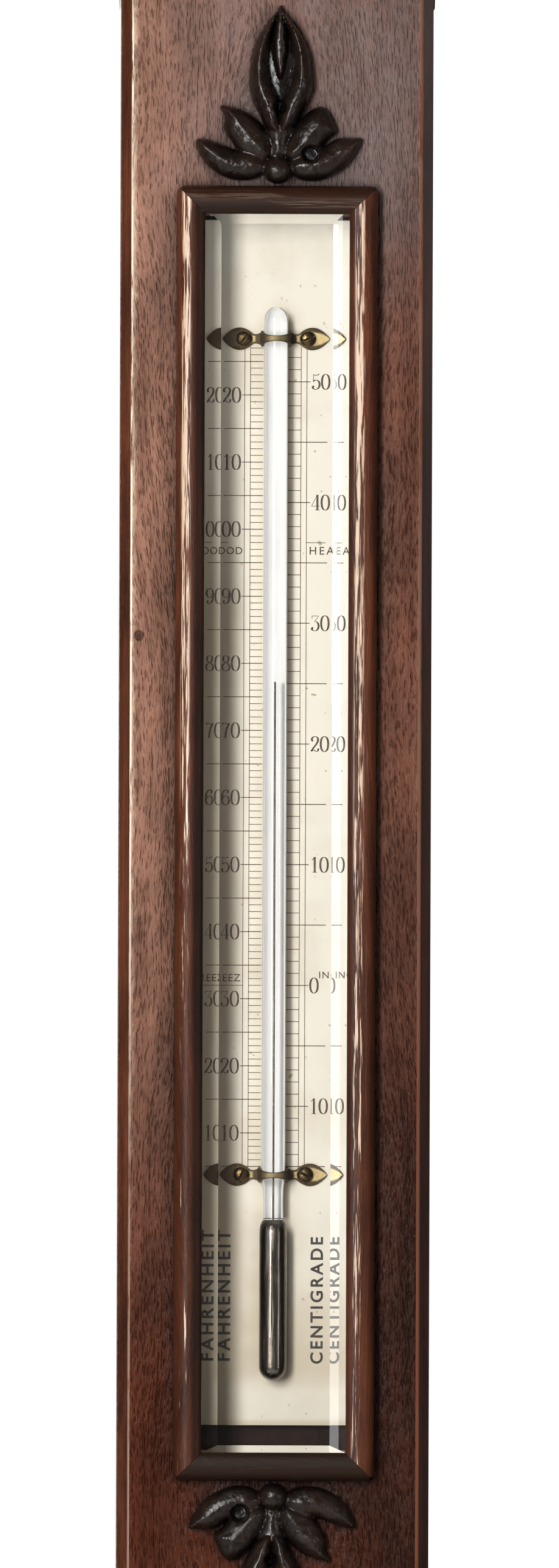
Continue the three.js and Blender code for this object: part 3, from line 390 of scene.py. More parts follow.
def ageing_group():
    """Stains, specks and fine cracks of an old pale ground."""
    group, source = new_group(
        "Ageing",
        {
            "Vector": (VECTOR, None),
            "Ground": (COLOUR, (0.9, 0.85, 0.7, 1)),
            "Stain": (COLOUR, (0.4, 0.3, 0.2, 1)),
            "Amount": (FLOAT, 0.5),
        },
        {"Color": COLOUR, "Height": FLOAT},
    )
    place, stain, amount = source["Vector"], source["Stain"], source["Amount"]
    clouds = place.noise(0.045, 4.0, 0.6)
    cloudy = clouds.fade(0.45, 0.75) * amount
    specks = place.noise(0.6, 2.0, 0.4).fade(0.74, 0.78, 0.0, 0.8)
    wander = place.scaled(place.noise(0.12, 3.0).fade(0.2, 0.8, 0.96, 1.04))
    hairline = wander.cells(0.06).fade(0.005, 0.0, 0.0, 0.4)
    cracked = place.noise(0.05, 1.0).fade(0.58, 0.66)
    marks = largest(specks, hairline * cracked * amount)
    clouded = mix(cloudy * 0.45, source["Ground"], stain)
    add(group, "NodeGroupOutput", {"Color": mix(marks, clouded, stain), "Height": clouds * 0.3 - marks})


def tarnish_group():
    """Metal that has darkened in clouds."""
    group, source = new_group(
        "Tarnish",
        {
            "Vector": (VECTOR, None),
            "Clean": (COLOUR, (0.6, 0.4, 0.1, 1)),
            "Dull": (COLOUR, (0.1, 0.06, 0.03, 1)),
            "Amount": (FLOAT, 0.5),
        },
        {"Color": COLOUR, "Roughness": FLOAT, "Height": FLOAT},
    )
    clouds = source["Vector"].noise(0.5, 5.0, 0.65)
    grain = source["Vector"].noise(3.5, 3.0, 0.7)
    dull = (clouds * 0.8 + grain * 0.2 + (source["Amount"] - 0.5) * 0.6).fade(0.38, 0.68)
    ends = {
        "Color": mix(dull, source["Clean"], source["Dull"]),
        "Roughness": dull.fade(0.0, 1.0, 0.2, 0.5),
        "Height": grain * 0.5,
    }
    add(group, "NodeGroupOutput", ends)


# Materials

FINISH = "finish "

# Near blacks, in linear light
# Painted shade, at the lower right of the shaft and on its right flank
PAINTED_SHADE = (0.006, 0.003, 0.002, 1)
# Painted shade and dirt in the corners of the wood
SHADE_AND_DIRT = (0.006, 0.004, 0.003, 1)
# Painted shade in the creases of the carving
CREVICE_SHADE = (0.003, 0.002, 0.002, 1)
CARVED_PORE = (0.004, 0.003, 0.002, 1)
# Painted shade and dirt in the corners of metal
METAL_SHADE_AND_DIRT = (0.01, 0.007, 0.004, 1)
RAIL_SHADOW = (0.02, 0.01, 0.006, 1)
# Tarnish on the straps' rims, and the straps' painted shade
STRAP_RIM_AND_SHADE = (0.028, 0.016, 0.008, 1)
SCREW_TARNISH = (0.03, 0.024, 0.014, 1)
BLUED_TARNISH = (0.01, 0.01, 0.012, 1)
MERCURY_DARK = (0.05, 0.045, 0.04, 1)
WHITE = (1, 1, 1, 1)


def new_material(name):
    """A material with an empty tree. Returns the tree, and the object's place in millimetres."""
    material = bpy.data.materials.new(FINISH + name)
    material.use_nodes = True
    tree = material.node_tree
    tree.nodes.clear()
    return tree, wire(tree, "ShaderNodeTexCoord", output="Object").scaled(1 / MM)


def finish_of(name):
    """A material of this script, by its short name."""
    return bpy.data.materials[FINISH + name]


def surface(tree, values):
    """Ends a tree in one Principled shader."""
    add(tree, "ShaderNodeOutputMaterial", {"Surface": wire(tree, "ShaderNodeBsdfPrincipled", values)})


def mixed_surface(tree, share, values, clear):
    """Ends a tree in a Principled shader that gives way to a clear one."""
    solid = wire(tree, "ShaderNodeBsdfPrincipled", values)
    other = wire(tree, "ShaderNodeBsdfTransparent", clear)
    both = wire(tree, "ShaderNodeMixShader", {0: share, 1: solid, 2: other})
    add(tree, "ShaderNodeOutputMaterial", {"Surface": both})


def edge_wear(place, width, amount):
    """Mask of worn edges, with their width in millimetres."""
    return use(place.tree, "Edge wear", {"Vector": place, "Width": width * MM, "Amount": amount})["Mask"]


def grime(place, reach, amount):
    """Mask of painted shade and dirt in corners, with its reach in millimetres."""
    return use(place.tree, "Grime", {"Vector": place, "Reach": reach * MM, "Amount": amount})["Mask"]


def oak_grain(place, light, dark, pore, strength):
    """Colour, height and gloss of oak."""
    values = {"Vector": place, "Light": light, "Dark": dark, "Pore": pore, "Pore Strength": strength}
    return use(place.tree, "Oak grain", values)


# A small knot in the left of the shaft
KNOT = tuple(row(-29.8, 43.0, CASE_HIGH.z) / MM)


def front_share(place, start=0.3, end=0.8):
    """How far a face looks out of the wall: zero below the start of its normal's lean, one past the end."""
    return wire(place.tree, "ShaderNodeNewGeometry", output="Normal").part("Y").fade(-start, -end)


def faded_share(place):
    """How far the boards are painted lighter as painted light: most at the upper left of the shaft."""
    height = place.height()
    below_cornice = height.fade(240.0, 180.0, 0.2, 1.0)
    side = place.part("X").fade(40.0, -30.0, 0.18, 1.0)
    return height.fade(-125.0, 5.0) * below_cornice * side * front_share(place)


def shaded_share(place):
    """Painted shade on the boards: most at the lower right of the shaft."""
    return place.part("X").fade(5.0, 28.0) * place.height().fade(20.0, -110.0, 0.0, 0.6)


def handled_share(place):
    """How far the shaft's face is pale beside its edges: rubbed, and a painted highlight, most on the left
    and higher up.
    """
    across, height = place.part("X"), place.height()
    off = across.math("ABSOLUTE")
    reach = off + place.drawn(0.3).noise(0.5, 4.0, 0.7) * 4.0
    beside = reach.fade(32.0, 34.2, 0.0, 0.75) * off.fade(34.0, 33.9)
    left = across.fade(12.0, -12.0, 0.1, 1.0)
    above = height.fade(-90.0, 10.0) * front_share(place)
    return beside * left * above * height.fade(FRIEZE_FOOT, FRIEZE_FOOT - 0.1)


def bloom_share(place):
    """Painted grey sheen round the carving above the box."""
    height = place.height()
    middle = (place.part("X") - 8.0).math("ABSOLUTE").fade(44.0, 10.0)
    patchy = place.noise(0.06, 3.0).fade(0.3, 0.7, 0.45, 0.95)
    above = height.fade(95.0, 150.0) * height.fade(235.0, 190.0, 0.2, 1.0)
    return middle * patchy * above * front_share(place)


def weathered(place, grain):
    """Colour and relief of the boards: a knot, painted light, shade and sheen, and worn arrises with a
    painted highlight.
    """
    off = place.vector("DISTANCE", KNOT, "Value")
    knot = (off + grain["Height"] * 0.5).fade(1.3, 0.8)
    toned = mix(knot * 0.75, grain["Color"], colours().oak_pore)
    # Painted light and shade: the boards keep their colour at the upper left and take the darker tint
    # elsewhere
    tint = mix(faded_share(place), colours().oak_deep, WHITE)
    toned = mix(1.0, toned, tint, "MULTIPLY")
    toned = mix(bloom_share(place), toned, colours().bloom)
    toned = mix(handled_share(place), toned, colours().rubbed)
    return mix(shaded_share(place), toned, PAINTED_SHADE), grain["Height"] - knot * 0.5


def oak_material(name, light, dark, look):
    """Fumed oak. The look says how far the grain leans, how glossy and worn it is, and what light and shade
    is painted on it.
    """
    tree, place = new_material(name)
    along = place.mapped("Rotation", (0, look["lean"], 0))
    grain = oak_grain(along, light, dark, colours().oak_pore, look["pores"])
    toned, height = weathered(place, grain) if look["lit_and_weathered"] else (grain["Color"], grain["Height"])
    rubbed = mix(edge_wear(place, look["edge"], look["wear"]), toned, colours().rubbed)
    # Painted shade: the flanks darken towards the right, away from the light
    if look["darkens"]:
        rubbed = mix(place.part("X").fade(-20.0, 20.0, 0.0, 0.6), rubbed, PAINTED_SHADE)
    values = {
        # Painted shade and dirt in the corners
        "Base Color": mix(grime(place, look["reach"], sizes().grime), rubbed, SHADE_AND_DIRT),
        "Roughness": grain["Gloss"].fade(0.0, 0.9, look["rough"] + 0.16, look["rough"]),
        "Specular IOR Level": look["shine"],
        "Normal": height.bump(look["depth"]),
    }
    surface(tree, values)


def rail_material(name, gloss, depth, shade):
    """Polished moulding oak along its own rail, with a painted highlight in broken pale streaks on its
    crest.
    """
    tree, place = new_material(name)
    along = wire(tree, "ShaderNodeUVMap", uv_map="rail")
    across = along.part("X")
    flat = wire(tree, "ShaderNodeCombineXYZ", {"X": across * 9.0, "Z": along.part("Y") * (1 / MM)})
    offset = flat.vector("ADD", (40, 0, 70))
    grain = oak_grain(offset, colours().moulding_light, colours().moulding_dark, colours().oak_pore, 0.25)
    side, height = place.part("X"), place.height()
    # Painted highlight along the crest, placed across each rail where the lamp at the left glints
    off = (across - side.fade(-5.0, 5.0, 0.55, 0.73)).math("ABSOLUTE")
    streaks = offset.drawn(0.016).noise(1.7, 3.0, 0.6)
    threads = offset.drawn(0.03).noise(3.4, 3.0, 0.6)
    # Painted shade, and a fainter painted highlight, towards the foot, most on the left
    low = height.fade(45.0, -60.0) * side.fade(0.0, -10.0, 0.55, 1.0)
    combed = streaks * 0.5 + threads * 0.5 - low.fade(0.0, 1.0, 0.0, 0.1)
    highlight_streaks = combed.fade(0.475, 0.53)
    painted_highlight = off.fade(0.13, 0.05) * highlight_streaks * (0.3 + 0.65 * gloss)
    # Painted shade on the inner side of the rails, more on the left rail
    inner = across.fade(0.6, 0.8) * side.fade(-5.0, 5.0, 0.85, 0.5)
    # This mask is painted shade with dirt: occlusion, the inner side and the foot
    dirt = largest(grime(place, 4, sizes().grime), inner, low * 0.5)
    rubbed = mix(painted_highlight, mix(dirt, grain["Color"], SHADE_AND_DIRT), colours().rubbed)
    values = {
        "Base Color": mix(height.fade(100.0, -100.0, shade, shade * 1.2), rubbed, RAIL_SHADOW),
        "Roughness": grain["Gloss"].fade(0.0, 0.9, 0.5, 0.34),
        "Specular IOR Level": 0.15,
        "Coat Weight": highlight_streaks * across.fade(0.75, 0.6) * (0.35 * gloss),
        "Coat Roughness": 0.22,
        "Normal": grain["Height"].bump(depth),
    }
    surface(tree, values)


def carved_material():
    """Dark polished oak with the marks of the gouge, and painted shade in its creases."""
    tree, place = new_material("carved_oak")
    shadow = tuple(0.45 * value for value in colours().carving[:3]) + (1,)
    grain = oak_grain(place, colours().carving, shadow, CARVED_PORE, 0.3)
    gouges = place.noise(0.42, 2.0, 0.45)
    rubbed = mix(edge_wear(place, 0.9, 0.3) * 0.4, grain["Color"], colours().moulding_light)
    values = {
        # Painted shade and dirt in the creases
        "Base Color": mix(grime(place, 5, 0.9), rubbed, CREVICE_SHADE),
        "Roughness": gouges.fade(0.3, 0.7, 0.24, 0.42),
        "Specular IOR Level": 0.38,
        "Normal": (gouges * 1.5 + grain["Height"] * 0.1).bump(0.35),
    }
    surface(tree, values)


def metal_material(name, clean, dull, amount, depth=0.02, spread=1.0):
    """A metal that has tarnished in clouds, with painted shade and dirt in corners. The spread makes the
    clouds larger.
    """
    tree, place = new_material(name)
    clouded = place.mapped("Scale", (1 / spread, 1 / spread, 1 / spread))
    finish = use(tree, "Tarnish", {"Vector": clouded, "Clean": clean, "Dull": dull, "Amount": amount})
    values = {
        # Painted shade and dirt in corners
        "Base Color": mix(grime(place, 1.2, 0.8), finish["Color"], METAL_SHADE_AND_DIRT),
        "Metallic": 1.0,
        "Roughness": finish["Roughness"],
        "Normal": finish["Height"].bump(depth),
    }
    surface(tree, values)


def rubbed_material():
    """Arrises rubbed pale in broken patches, with a painted highlight: most on the left and higher up."""
    tree, place = new_material("rubbed_and_highlit_oak")
    patches = place.drawn(0.12).noise(0.8, 4.0, 0.65)
    left = place.part("X").fade(12.0, -12.0, 0.06, 1.0) * front_share(place, 0.0, 0.3)
    # Painted highlight: strong on the left and higher up, faint on the right and low down
    worn_and_lit = left * place.height().fade(30.0, -90.0, 1.0, 0.16)
    worn = patches.fade(0.34, 0.52) * worn_and_lit * min(sizes().wear / 0.6, 1.0)
    values = {
        "Base Color": mix(worn, colours().moulding_light, colours().bare_edge),
        "Roughness": 0.45,
        "Specular IOR Level": 0.3,
        "Normal": patches.bump(0.1),
    }
    surface(tree, values)


def strap_material():
    """Old lacquered brass strap: pale and crazed in the middle of its ears, dark along its rim, with painted
    shade.
    """
    tree, place = new_material("strap_brass")
    strap = wire(tree, "ShaderNodeUVMap", uv_map="rail")
    edge = (strap.part("X") - 0.5).math("ABSOLUTE")
    rim = (edge + (place.noise(1.2, 3.0) - 0.5) * 0.16).fade(0.25, 0.36)
    out = strap.part("Y")
    # Painted shade on the legs beside the stem, a little less over the stem
    strap_shade = out.fade(0.42, 0.36) * out.fade(0.1, 0.24, 0.7, 1.0)
    cracks = place.cells(0.9).fade(0.05, 0.0, 0.0, 0.2)
    brass = {"Vector": place, "Clean": colours().pale_brass, "Dull": colours().olive, "Amount": 0.35}
    finish = use(tree, "Tarnish", brass)
    dark = largest(largest(rim, strap_shade), largest(grime(place, 1.5, 0.8), cracks))
    # Painted shade on the left of the ears
    left = place.part("X").fade(-7.0, -8.0, 0.0, 0.96)
    values = {
        "Base Color": mix(largest(dark * 0.9, left), finish["Color"], STRAP_RIM_AND_SHADE),
        "Metallic": 0.3,
        "Specular IOR Level": 0.15,
        "Roughness": dark.fade(0.0, 1.0, 0.4, 0.55),
        "Normal": finish["Height"].bump(0.05),
    }
    surface(tree, values)


def plate_ground(place):
    """The ground of the scale plate: painted shadow of the frame on its left, yellowed below, and clean
    along its foot.
    """
    height = place.height()
    cloud = place.noise(0.05, 2.0) * 12.0
    foot = (height + cloud).fade(-70.0, -122.0, 0.0, 0.45)
    # Painted shadow of the left rail, weaker towards the top
    left = (place.part("X") + cloud * 0.2).fade(-3.5, -9.5, 0.0, 0.9) * height.fade(110.0, 40.0, 0.4, 1.0)
    strip = height.fade(-116.0, -123.0) * height.fade(-129.0, -127.5)
    yellowed = mix(foot, colours().ivory, colours().stain)
    return mix(left, mix(strip * 0.8, yellowed, colours().ivory), colours().soot)


def aged_material(name, ground, amount, roughness):
    """A pale old ground, such as the dial. With no ground given it is that of the scale plate."""
    tree, place = new_material(name)
    if ground is None:
        ground = plate_ground(place)
    stain = colours().stain
    aged = use(tree, "Ageing", {"Vector": place, "Ground": ground, "Stain": stain, "Amount": amount})
    values = {
        # Painted shade and dirt in the corners, in the stain colour
        "Base Color": mix(grime(place, 5, 0.35), aged["Color"], stain),
        "Roughness": roughness,
        "Normal": aged["Height"].bump(0.03),
    }
    surface(tree, values)


def ink_material():
    """Filled lines that are worn thin in places, and the darker words at the foot of the scale."""
    tree, place = new_material("ink")
    height = place.height()
    thin = place.noise(1.6, 3.0, 0.6).fade(0.5, 0.8, 0.0, 0.5)
    lowest = height.fade(-76.0, -80.0) * height.fade(-140.0, -130.0)
    filled = mix(lowest, colours().ink, colours().fresh_ink)
    worn = thin * lowest.fade(0.0, 1.0, 1.0, 0.3)
    surface(tree, {"Base Color": mix(worn, filled, colours().stain), "Roughness": 0.6})


def enamel_material():
    """White enamel with faint streaks of dirt."""
    tree, place = new_material("enamel")
    streaks = place.drawn(0.05).noise(1.2, 2.0).fade(0.4, 0.8, 0.0, 0.12)
    shade = mix(streaks, colours().enamel, colours().soot)
    surface(tree, {"Base Color": shade, "Roughness": 0.5, "Specular IOR Level": 0.1})


def mercury_material():
    """Mercury with a dull film on it."""
    tree, place = new_material("mercury")
    ripple = place.drawn(0.12).noise(0.5, 2.0)
    values = {
        "Base Color": mix(ripple.fade(0.4, 0.7, 0.0, 0.4), colours().mercury, MERCURY_DARK),
        "Metallic": 1.0,
        "Roughness": place.drawn(0.06).noise(1.2, 2.0).fade(0.4, 0.7, 0.16, 0.3),
        "Normal": ripple.bump(0.12),
    }
    surface(tree, values)


def glass_material():
    """Clear glass that lets the lamps through to what lies behind it."""
    tree, place = new_material("clear_glass")
    values = {
        "Base Color": colours().glass,
        "Roughness": place.noise(0.9, 4.0, 0.7).fade(0.55, 0.9, 0.0, 0.06),
        "IOR": 1.52,
        "Transmission Weight": 1.0,
    }
    path = add(tree, "ShaderNodeLightPath", {}).outputs
    passing = largest(Wire(tree, path["Is Shadow Ray"]), Wire(tree, path["Is Diffuse Ray"]))
    mixed_surface(tree, passing, values, {"Color": (0.97, 0.97, 0.965, 1)})


def make_materials():
    """Builds the node groups, then every material by its name."""
    for build in (oak_grain_group, edge_wear_group, grime_group, ageing_group, tarnish_group):
        build()
    tint = colours()
    # The boards' light pair carries the painted light at the upper left
    faded = (tint.oak_light, tint.oak_dark)
    fumed = (tint.moulding_light, tint.moulding_dark)
    plain = {"lean": 0.0, "edge": 0.7, "reach": 12, "rough": 0.36, "lit_and_weathered": False, "darkens": False}
    board = {**plain, "pores": 0.6, "wear": sizes().wear, "shine": 0.14, "lit_and_weathered": True}
    flank = {**plain, "pores": 0.25, "wear": 0.2, "shine": 0.25, "depth": 0.06, "darkens": True}
    polished = {**plain, "pores": 0.35, "wear": 0.1, "rough": 0.34, "shine": 0.4, "depth": 0.06}
    oak_material("board_oak", *faded, {**board, "lean": 0.04, "depth": 0.9})
    oak_material("board_edge_oak", *fumed, flank)
    # The walls of the well are painted near black: painted shade inside the box
    oak_material("shaded_well_oak", tint.oak_pore, tint.carving, {**flank, "darkens": False, "shine": 0.1})
    oak_material("level_oak", *faded, {**board, "lean": QUARTER, "depth": 0.6})
    oak_material("level_moulding_oak", *fumed, {**polished, "lean": QUARTER})
    oak_material("turned_oak", *fumed, polished)
    rail_material("moulding_oak", gloss=1.0, depth=0.2, shade=0.0)
    rail_material("dull_moulding_oak", gloss=0.1, depth=0.14, shade=0.8)
    carved_material()
    metal_material("polished_brass", tint.brass, tint.tarnish, 0.3)
    metal_material("dull_brass", tint.brass, tint.tarnish, 0.35, depth=0.01, spread=14.0)
    metal_material("aged_brass", tint.brass, tint.tarnish, 0.85, depth=0.05)
    metal_material("screw_brass", tint.olive, SCREW_TARNISH, 0.55, depth=0.05)
    metal_material("bare_steel", tint.steel, tint.tarnish, 0.25)
    metal_material("blued_steel", tint.blued_steel, BLUED_TARNISH, 0.4)
    rubbed_material()
    strap_material()
    aged_material("ivory_plate", None, amount=0.5, roughness=0.45)
    aged_material("dial_white", tint.ivory, amount=0.3, roughness=0.35)
    ink_material()
    enamel_material()
    mercury_material()
    glass_material()


# Making meshes


def new_piece(name, shape, looks, body="case", replaces=(), smooth=35.0, uvs=None):
    """Makes one piece of the barometer from its vertices and faces in the front view.

    Edges sharper than the angle smooth, in degrees, stay sharp. The uvs run along and across a strip.
    """
    mesh = bpy.data.meshes.new(name)
    mesh.from_pydata([row(*vertex) for vertex in shape[0]], [], shape[1])
    for look in [looks] if isinstance(looks, str) else looks:
        mesh.materials.append(finish_of(look))
    if uvs is not None:
        layer = mesh.uv_layers.new(name="rail")
        for loop in mesh.loops:
            layer.data[loop.index].uv = uvs[loop.vertex_index]
    shaped = bmesh.new()
    shaped.from_mesh(mesh)
    bmesh.ops.recalc_face_normals(shaped, faces=shaped.faces)
    shaped.to_mesh(mesh)
    shaped.free()
    mesh.shade_smooth()
    mesh.set_sharp_from_angle(angle=math.radians(smooth))
    piece = bpy.data.objects.new(name, mesh)
    bpy.context.scene.collection.objects.link(piece)
    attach(piece, body)
    if replaces:
        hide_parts(*replaces)
    return piece


def soften(piece, width, segments=3, worn=False):
    """Rounds the sharp edges of a piece by a width in millimetres, and may rub them pale with a painted
    highlight.
    """
    bevel = piece.modifiers.new("softened edges", "BEVEL")
    bevel.width = width * MM
    bevel.segments = segments
    bevel.limit_method = "ANGLE"
    bevel.angle_limit = math.radians(40)
    bevel.harden_normals = False
    if worn:
        piece.data.materials.append(finish_of("rubbed_and_highlit_oak"))
        bevel.material = len(piece.data.materials) - 1


def dress(node, look, width=0.0):
    """Gives a node of the frame its material, and softens its edges."""
    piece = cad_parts[node]
    piece.data.materials.clear()
    piece.data.materials.append(finish_of(look))
    if width:
        weld = piece.modifiers.new("joined corners", "WELD")
        weld.merge_threshold = 0.002 * MM
        soften(piece, width, 2)


def arc(middle_x, middle_y, radius, start, end, steps, squeeze=1.0):
    """Points on an arc, or on an ellipse when squeezed."""
    angles = [start + (end - start) * i / steps for i in range(steps + 1)]
    return [(middle_x + radius * math.cos(a), middle_y + radius * squeeze * math.sin(a)) for a in angles]


def bend(points, steps):
    """Points on a curve that its control points draw to themselves. It meets only the first and the last."""
    result = []
    for i in range(steps + 1):
        share = i / steps
        level = [Vector(point) for point in points]
        while len(level) > 1:
            level = [a.lerp(b, share) for a, b in zip(level, level[1:])]
        result.append(tuple(level[0]))
    return result


def quads(first, second, count):
    """Faces between two rings of points, from the number of the first point of each."""
    pairs = [(i, (i + 1) % count) for i in range(count)]
    return [(first + i, first + j, second + j, second + i) for i, j in pairs]


def slab(outline, back, front):
    """A flat board from an outline, as vertices and faces."""
    count = len(outline)
    vertices = [(x, y, z) for z in (back, front) for x, y in outline]
    ends = [tuple(range(count - 1, -1, -1)), tuple(range(count, 2 * count))]
    return vertices, ends + quads(0, count, count)


def loft(rings):
    """Joins rings of the same number of points, and caps both ends."""
    count = len(rings[0])
    vertices = [point for ring in rings for point in ring]
    starts = range(0, len(vertices), count)
    faces = [face for a, b in zip(starts, starts[1:]) for face in quads(a, b, count)]
    faces.append(tuple(range(count - 1, -1, -1)))
    faces.append(tuple(range(starts[-1], len(vertices))))
    return vertices, faces


def lathe(profile, steps, middle=(0.0, 0.0), upright=False):
    """Turns a profile of radius and height round an axis that points out of the wall, or up.

    A profile runs from the axis to the axis, or closes on itself.
    """
    vertices = []
    rings = []
    for radius, along in profile:
        if radius < 1e-6:
            rings.append([len(vertices)] * steps)
            vertices.append((middle[0], along, middle[1]) if upright else (middle[0], middle[1], along))
            continue
        rings.append(list(range(len(vertices), len(vertices) + steps)))
        for i in range(steps):
            angle = 2 * math.pi * i / steps
            a, b = radius * math.cos(angle), radius * math.sin(angle)
            if upright:
                vertices.append((middle[0] + a, along, middle[1] + b))
            else:
                vertices.append((middle[0] + a, middle[1] + b, along))
    pairs = list(zip(rings, rings[1:]))
    if profile[0][0] > 1e-6:
        pairs.append((rings[-1], rings[0]))
    faces = []
    for lower, upper in pairs:
        for i in range(steps):
            j = (i + 1) % steps
            corners = list(dict.fromkeys((lower[i], lower[j], upper[j], upper[i])))
            if len(corners) > 2:
                faces.append(tuple(corners))
    return vertices, faces


def merge(parts):
    """Several meshes as one list of vertices and faces."""
    vertices, faces = [], []
    for more_vertices, more_faces in parts:
        start = len(vertices)
        vertices += more_vertices
        faces += [tuple(index + start for index in face) for face in more_faces]
    return vertices, faces


# Case and pediment

# Gap in the joint of two boards
JOINT = 0.3
# Lengths of the case board that the frame's boxes leave open
SHAFT_MARGIN = 12.1
RING_WIDTH = 23
WELL_X, WELL_Y, WELL_FLOOR = 16.3, 135.4, 7.0
CHAMFER, CHAMFER_DEPTH, ROUND_CHAMFER = 2.5, 4.0, 4.0
BOARD_LOOKS = ("board_oak", "board_edge_oak", "shaded_well_oak")


def case_board():
    """The back board: a shaft with chamfered edges that runs into a round, with a well and a hole.

    Returns its vertices and faces, and for each face the place of its finish in the looks of the board.
    """
    width = front_box("box_moulding_right")[1].x + SHAFT_MARGIN
    thick = CASE_HIGH.z

    def outer(half, radius, height):
        spread = math.asin(half / radius)
        points = [(half, CASE_HIGH.y)]
        points += arc(0, DIAL_MIDDLE, radius, QUARTER - spread, -QUARTER, 90)
        return [(x, y, height) for x, y in points + mirrored(points[-2::-1], -1)]

    vertices = outer(width, CASE_HIGH.x, 0)
    count = len(vertices)
    vertices += outer(width, CASE_HIGH.x, thick - CHAMFER_DEPTH)
    vertices += outer(width - CHAMFER, CASE_HIGH.x - ROUND_CHAMFER, thick)
    front = 2 * count
    well = len(vertices)
    for height in (thick, WELL_FLOOR):
        vertices += [(x * WELL_X, y * WELL_Y, height) for x, y in ((1, 1), (1, -1), (-1, -1), (-1, 1))]
    hole = len(vertices)
    rim = arc(0, DIAL_MIDDLE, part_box("dial_ring")[1].x / MM - RING_WIDTH, QUARTER, -QUARTER, 60)
    rim += mirrored(rim[-2:0:-1], -1)
    vertices += [(x, y, height) for height in (thick, 0) for x, y in rim]
    back_hole = hole + len(rim)
    half, half_rim = count // 2, len(rim) // 2

    def right_rim(start):
        return [start + i for i in range(half_rim, -1, -1)]

    def left_rim(start):
        return [start] + [start + i for i in range(len(rim) - 1, half_rim - 1, -1)]

    right = [*range(front + 1, front + half + 1), *right_rim(hole), well + 1, well]
    left = [well + 3, well + 2, *left_rim(hole), *range(front + half, front + count)]
    top = (front, front + 1, well, well + 3, front + count - 1)
    parts = (
        (quads(0, count, count) + quads(count, front, count), 1),
        (quads(well, well + 4, 4) + [tuple(range(well + 4, well + 8))], 2),
        (quads(hole, back_hole, len(rim)), 1),
        ([tuple(right), tuple(left), top, (well + 1, hole, well + 2)], 0),
        ([(*range(half + 1), *right_rim(back_hole)), (*left_rim(back_hole), *range(half, count))], 1),
        ([(back_hole, 0, count - 1)], 1),
    )
    faces = [face for part, look in parts for face in part]
    return (vertices, faces), [look for part, look in parts for face in part]


def arris_board(name, outline, replaced, back, front, share):
    """A board of its own outline, with rubbed arrises that carry a painted highlight. The share makes them
    finer than the shaft's.
    """
    piece = new_piece(name, slab(outline, back, front), "board_oak", replaces=(replaced,))
    soften(piece, sizes().arris * share, worn=True)


def mirrored(points, side):
    """Points on the right for a side of 1, and on the left for a side of -1."""
    return [(side * x, y) for x, y in points]


def make_shoulder(side, node):
    """A curved board between the shaft and the round."""
    low, high = front_box("shoulder_right")
    radius = CASE_HIGH.x + JOINT
    near, far, top = low.x, high.x, high.y - DIAL_MIDDLE
    crown = math.sqrt(radius * radius - near * near)
    outline = [(near, top)]
    outline += arc(0, 0, radius, math.acos(near / radius), math.acos(far / radius), 12)
    reach, rise = far - near, top - crown
    sweep = [outline[-1], (near + reach * 0.3, crown + rise / 9), (near + reach / 6, top - rise / 9)]
    outline += bend(sweep, 20)[1:]
    placed = [(x, y + DIAL_MIDDLE) for x, y in mirrored(outline, side)]
    arris_board(f"oak_{node}", placed, node, low.z, high.z, 0.8)


def make_apron():
    """The shaped board under the round, with the same sweep on both sides."""
    low, high = front_box("apron")
    radius = CASE_HIGH.x + JOINT
    half = high.x
    top = -math.sqrt(radius * radius - half * half)
    foot_y = low.y - DIAL_MIDDLE
    drop = -CASE_HIGH.x - foot_y
    foot = 9.0
    spread = math.asin(half / radius)
    outline = arc(0, 0, radius, -QUARTER - spread, -QUARTER + spread, 30)
    sweep = [(half, top), (half, top - drop / 2), (foot * 1.67, foot_y + drop * 0.45), (foot, foot_y)]
    side = bend(sweep, 20)[1:]
    outline += side + mirrored(side[::-1], -1)
    placed = [(x, y + DIAL_MIDDLE) for x, y in outline]
    arris_board("oak_apron", placed, "apron", low.z, high.z, 0.8)


def make_bracket(side, node):
    """A curved bracket under one end of the frieze board."""
    low, high = front_box("bracket_right")
    height = high.y - low.y
    outline = bend([(low.x, low.y), (low.x, low.y + height * 0.7), (high.x, high.y - 5)], 20)
    outline += [(high.x, high.y), (low.x, high.y)]
    arris_board(f"oak_{node}", mirrored(outline, side), node, low.z, high.z, 0.4)


def make_cornice():
    """The cornice moulding: a bead, a cove and a top board, returned on both sides."""
    low, high = front_box("cornice")
    frieze = front_box("frieze_board")[1]
    reach = high.x - frieze.x
    rise = high.y - low.y
    profile = [(0.3, 0.0), (0.3, 0.13)]
    profile += arc(0.3, 0.19, 0.06, -QUARTER, QUARTER, 8)[1:]
    profile += bend([(0.36, 0.25), (0.4, 0.5), (0.62, 0.52), (0.86, 0.6)], 14)
    profile += [(0.9, 0.62), (0.9, 0.66), (1.0, 0.66), (1.0, 0.97), (0.97, 1.0)]
    rings = []
    for out, up in profile:
        x, y, z = frieze.x + reach * out, low.y + rise * up, frieze.z + reach * out
        rings.append([(-x, y, 0), (-x, y, z), (x, y, z), (x, y, 0)])
    make_moulding("oak_cornice", rings, "cornice")


def make_moulding(name, rings, node):
    """A level moulding from its rings of points."""
    new_piece(name, loft(rings), "level_moulding_oak", replaces=(node,), smooth=28)


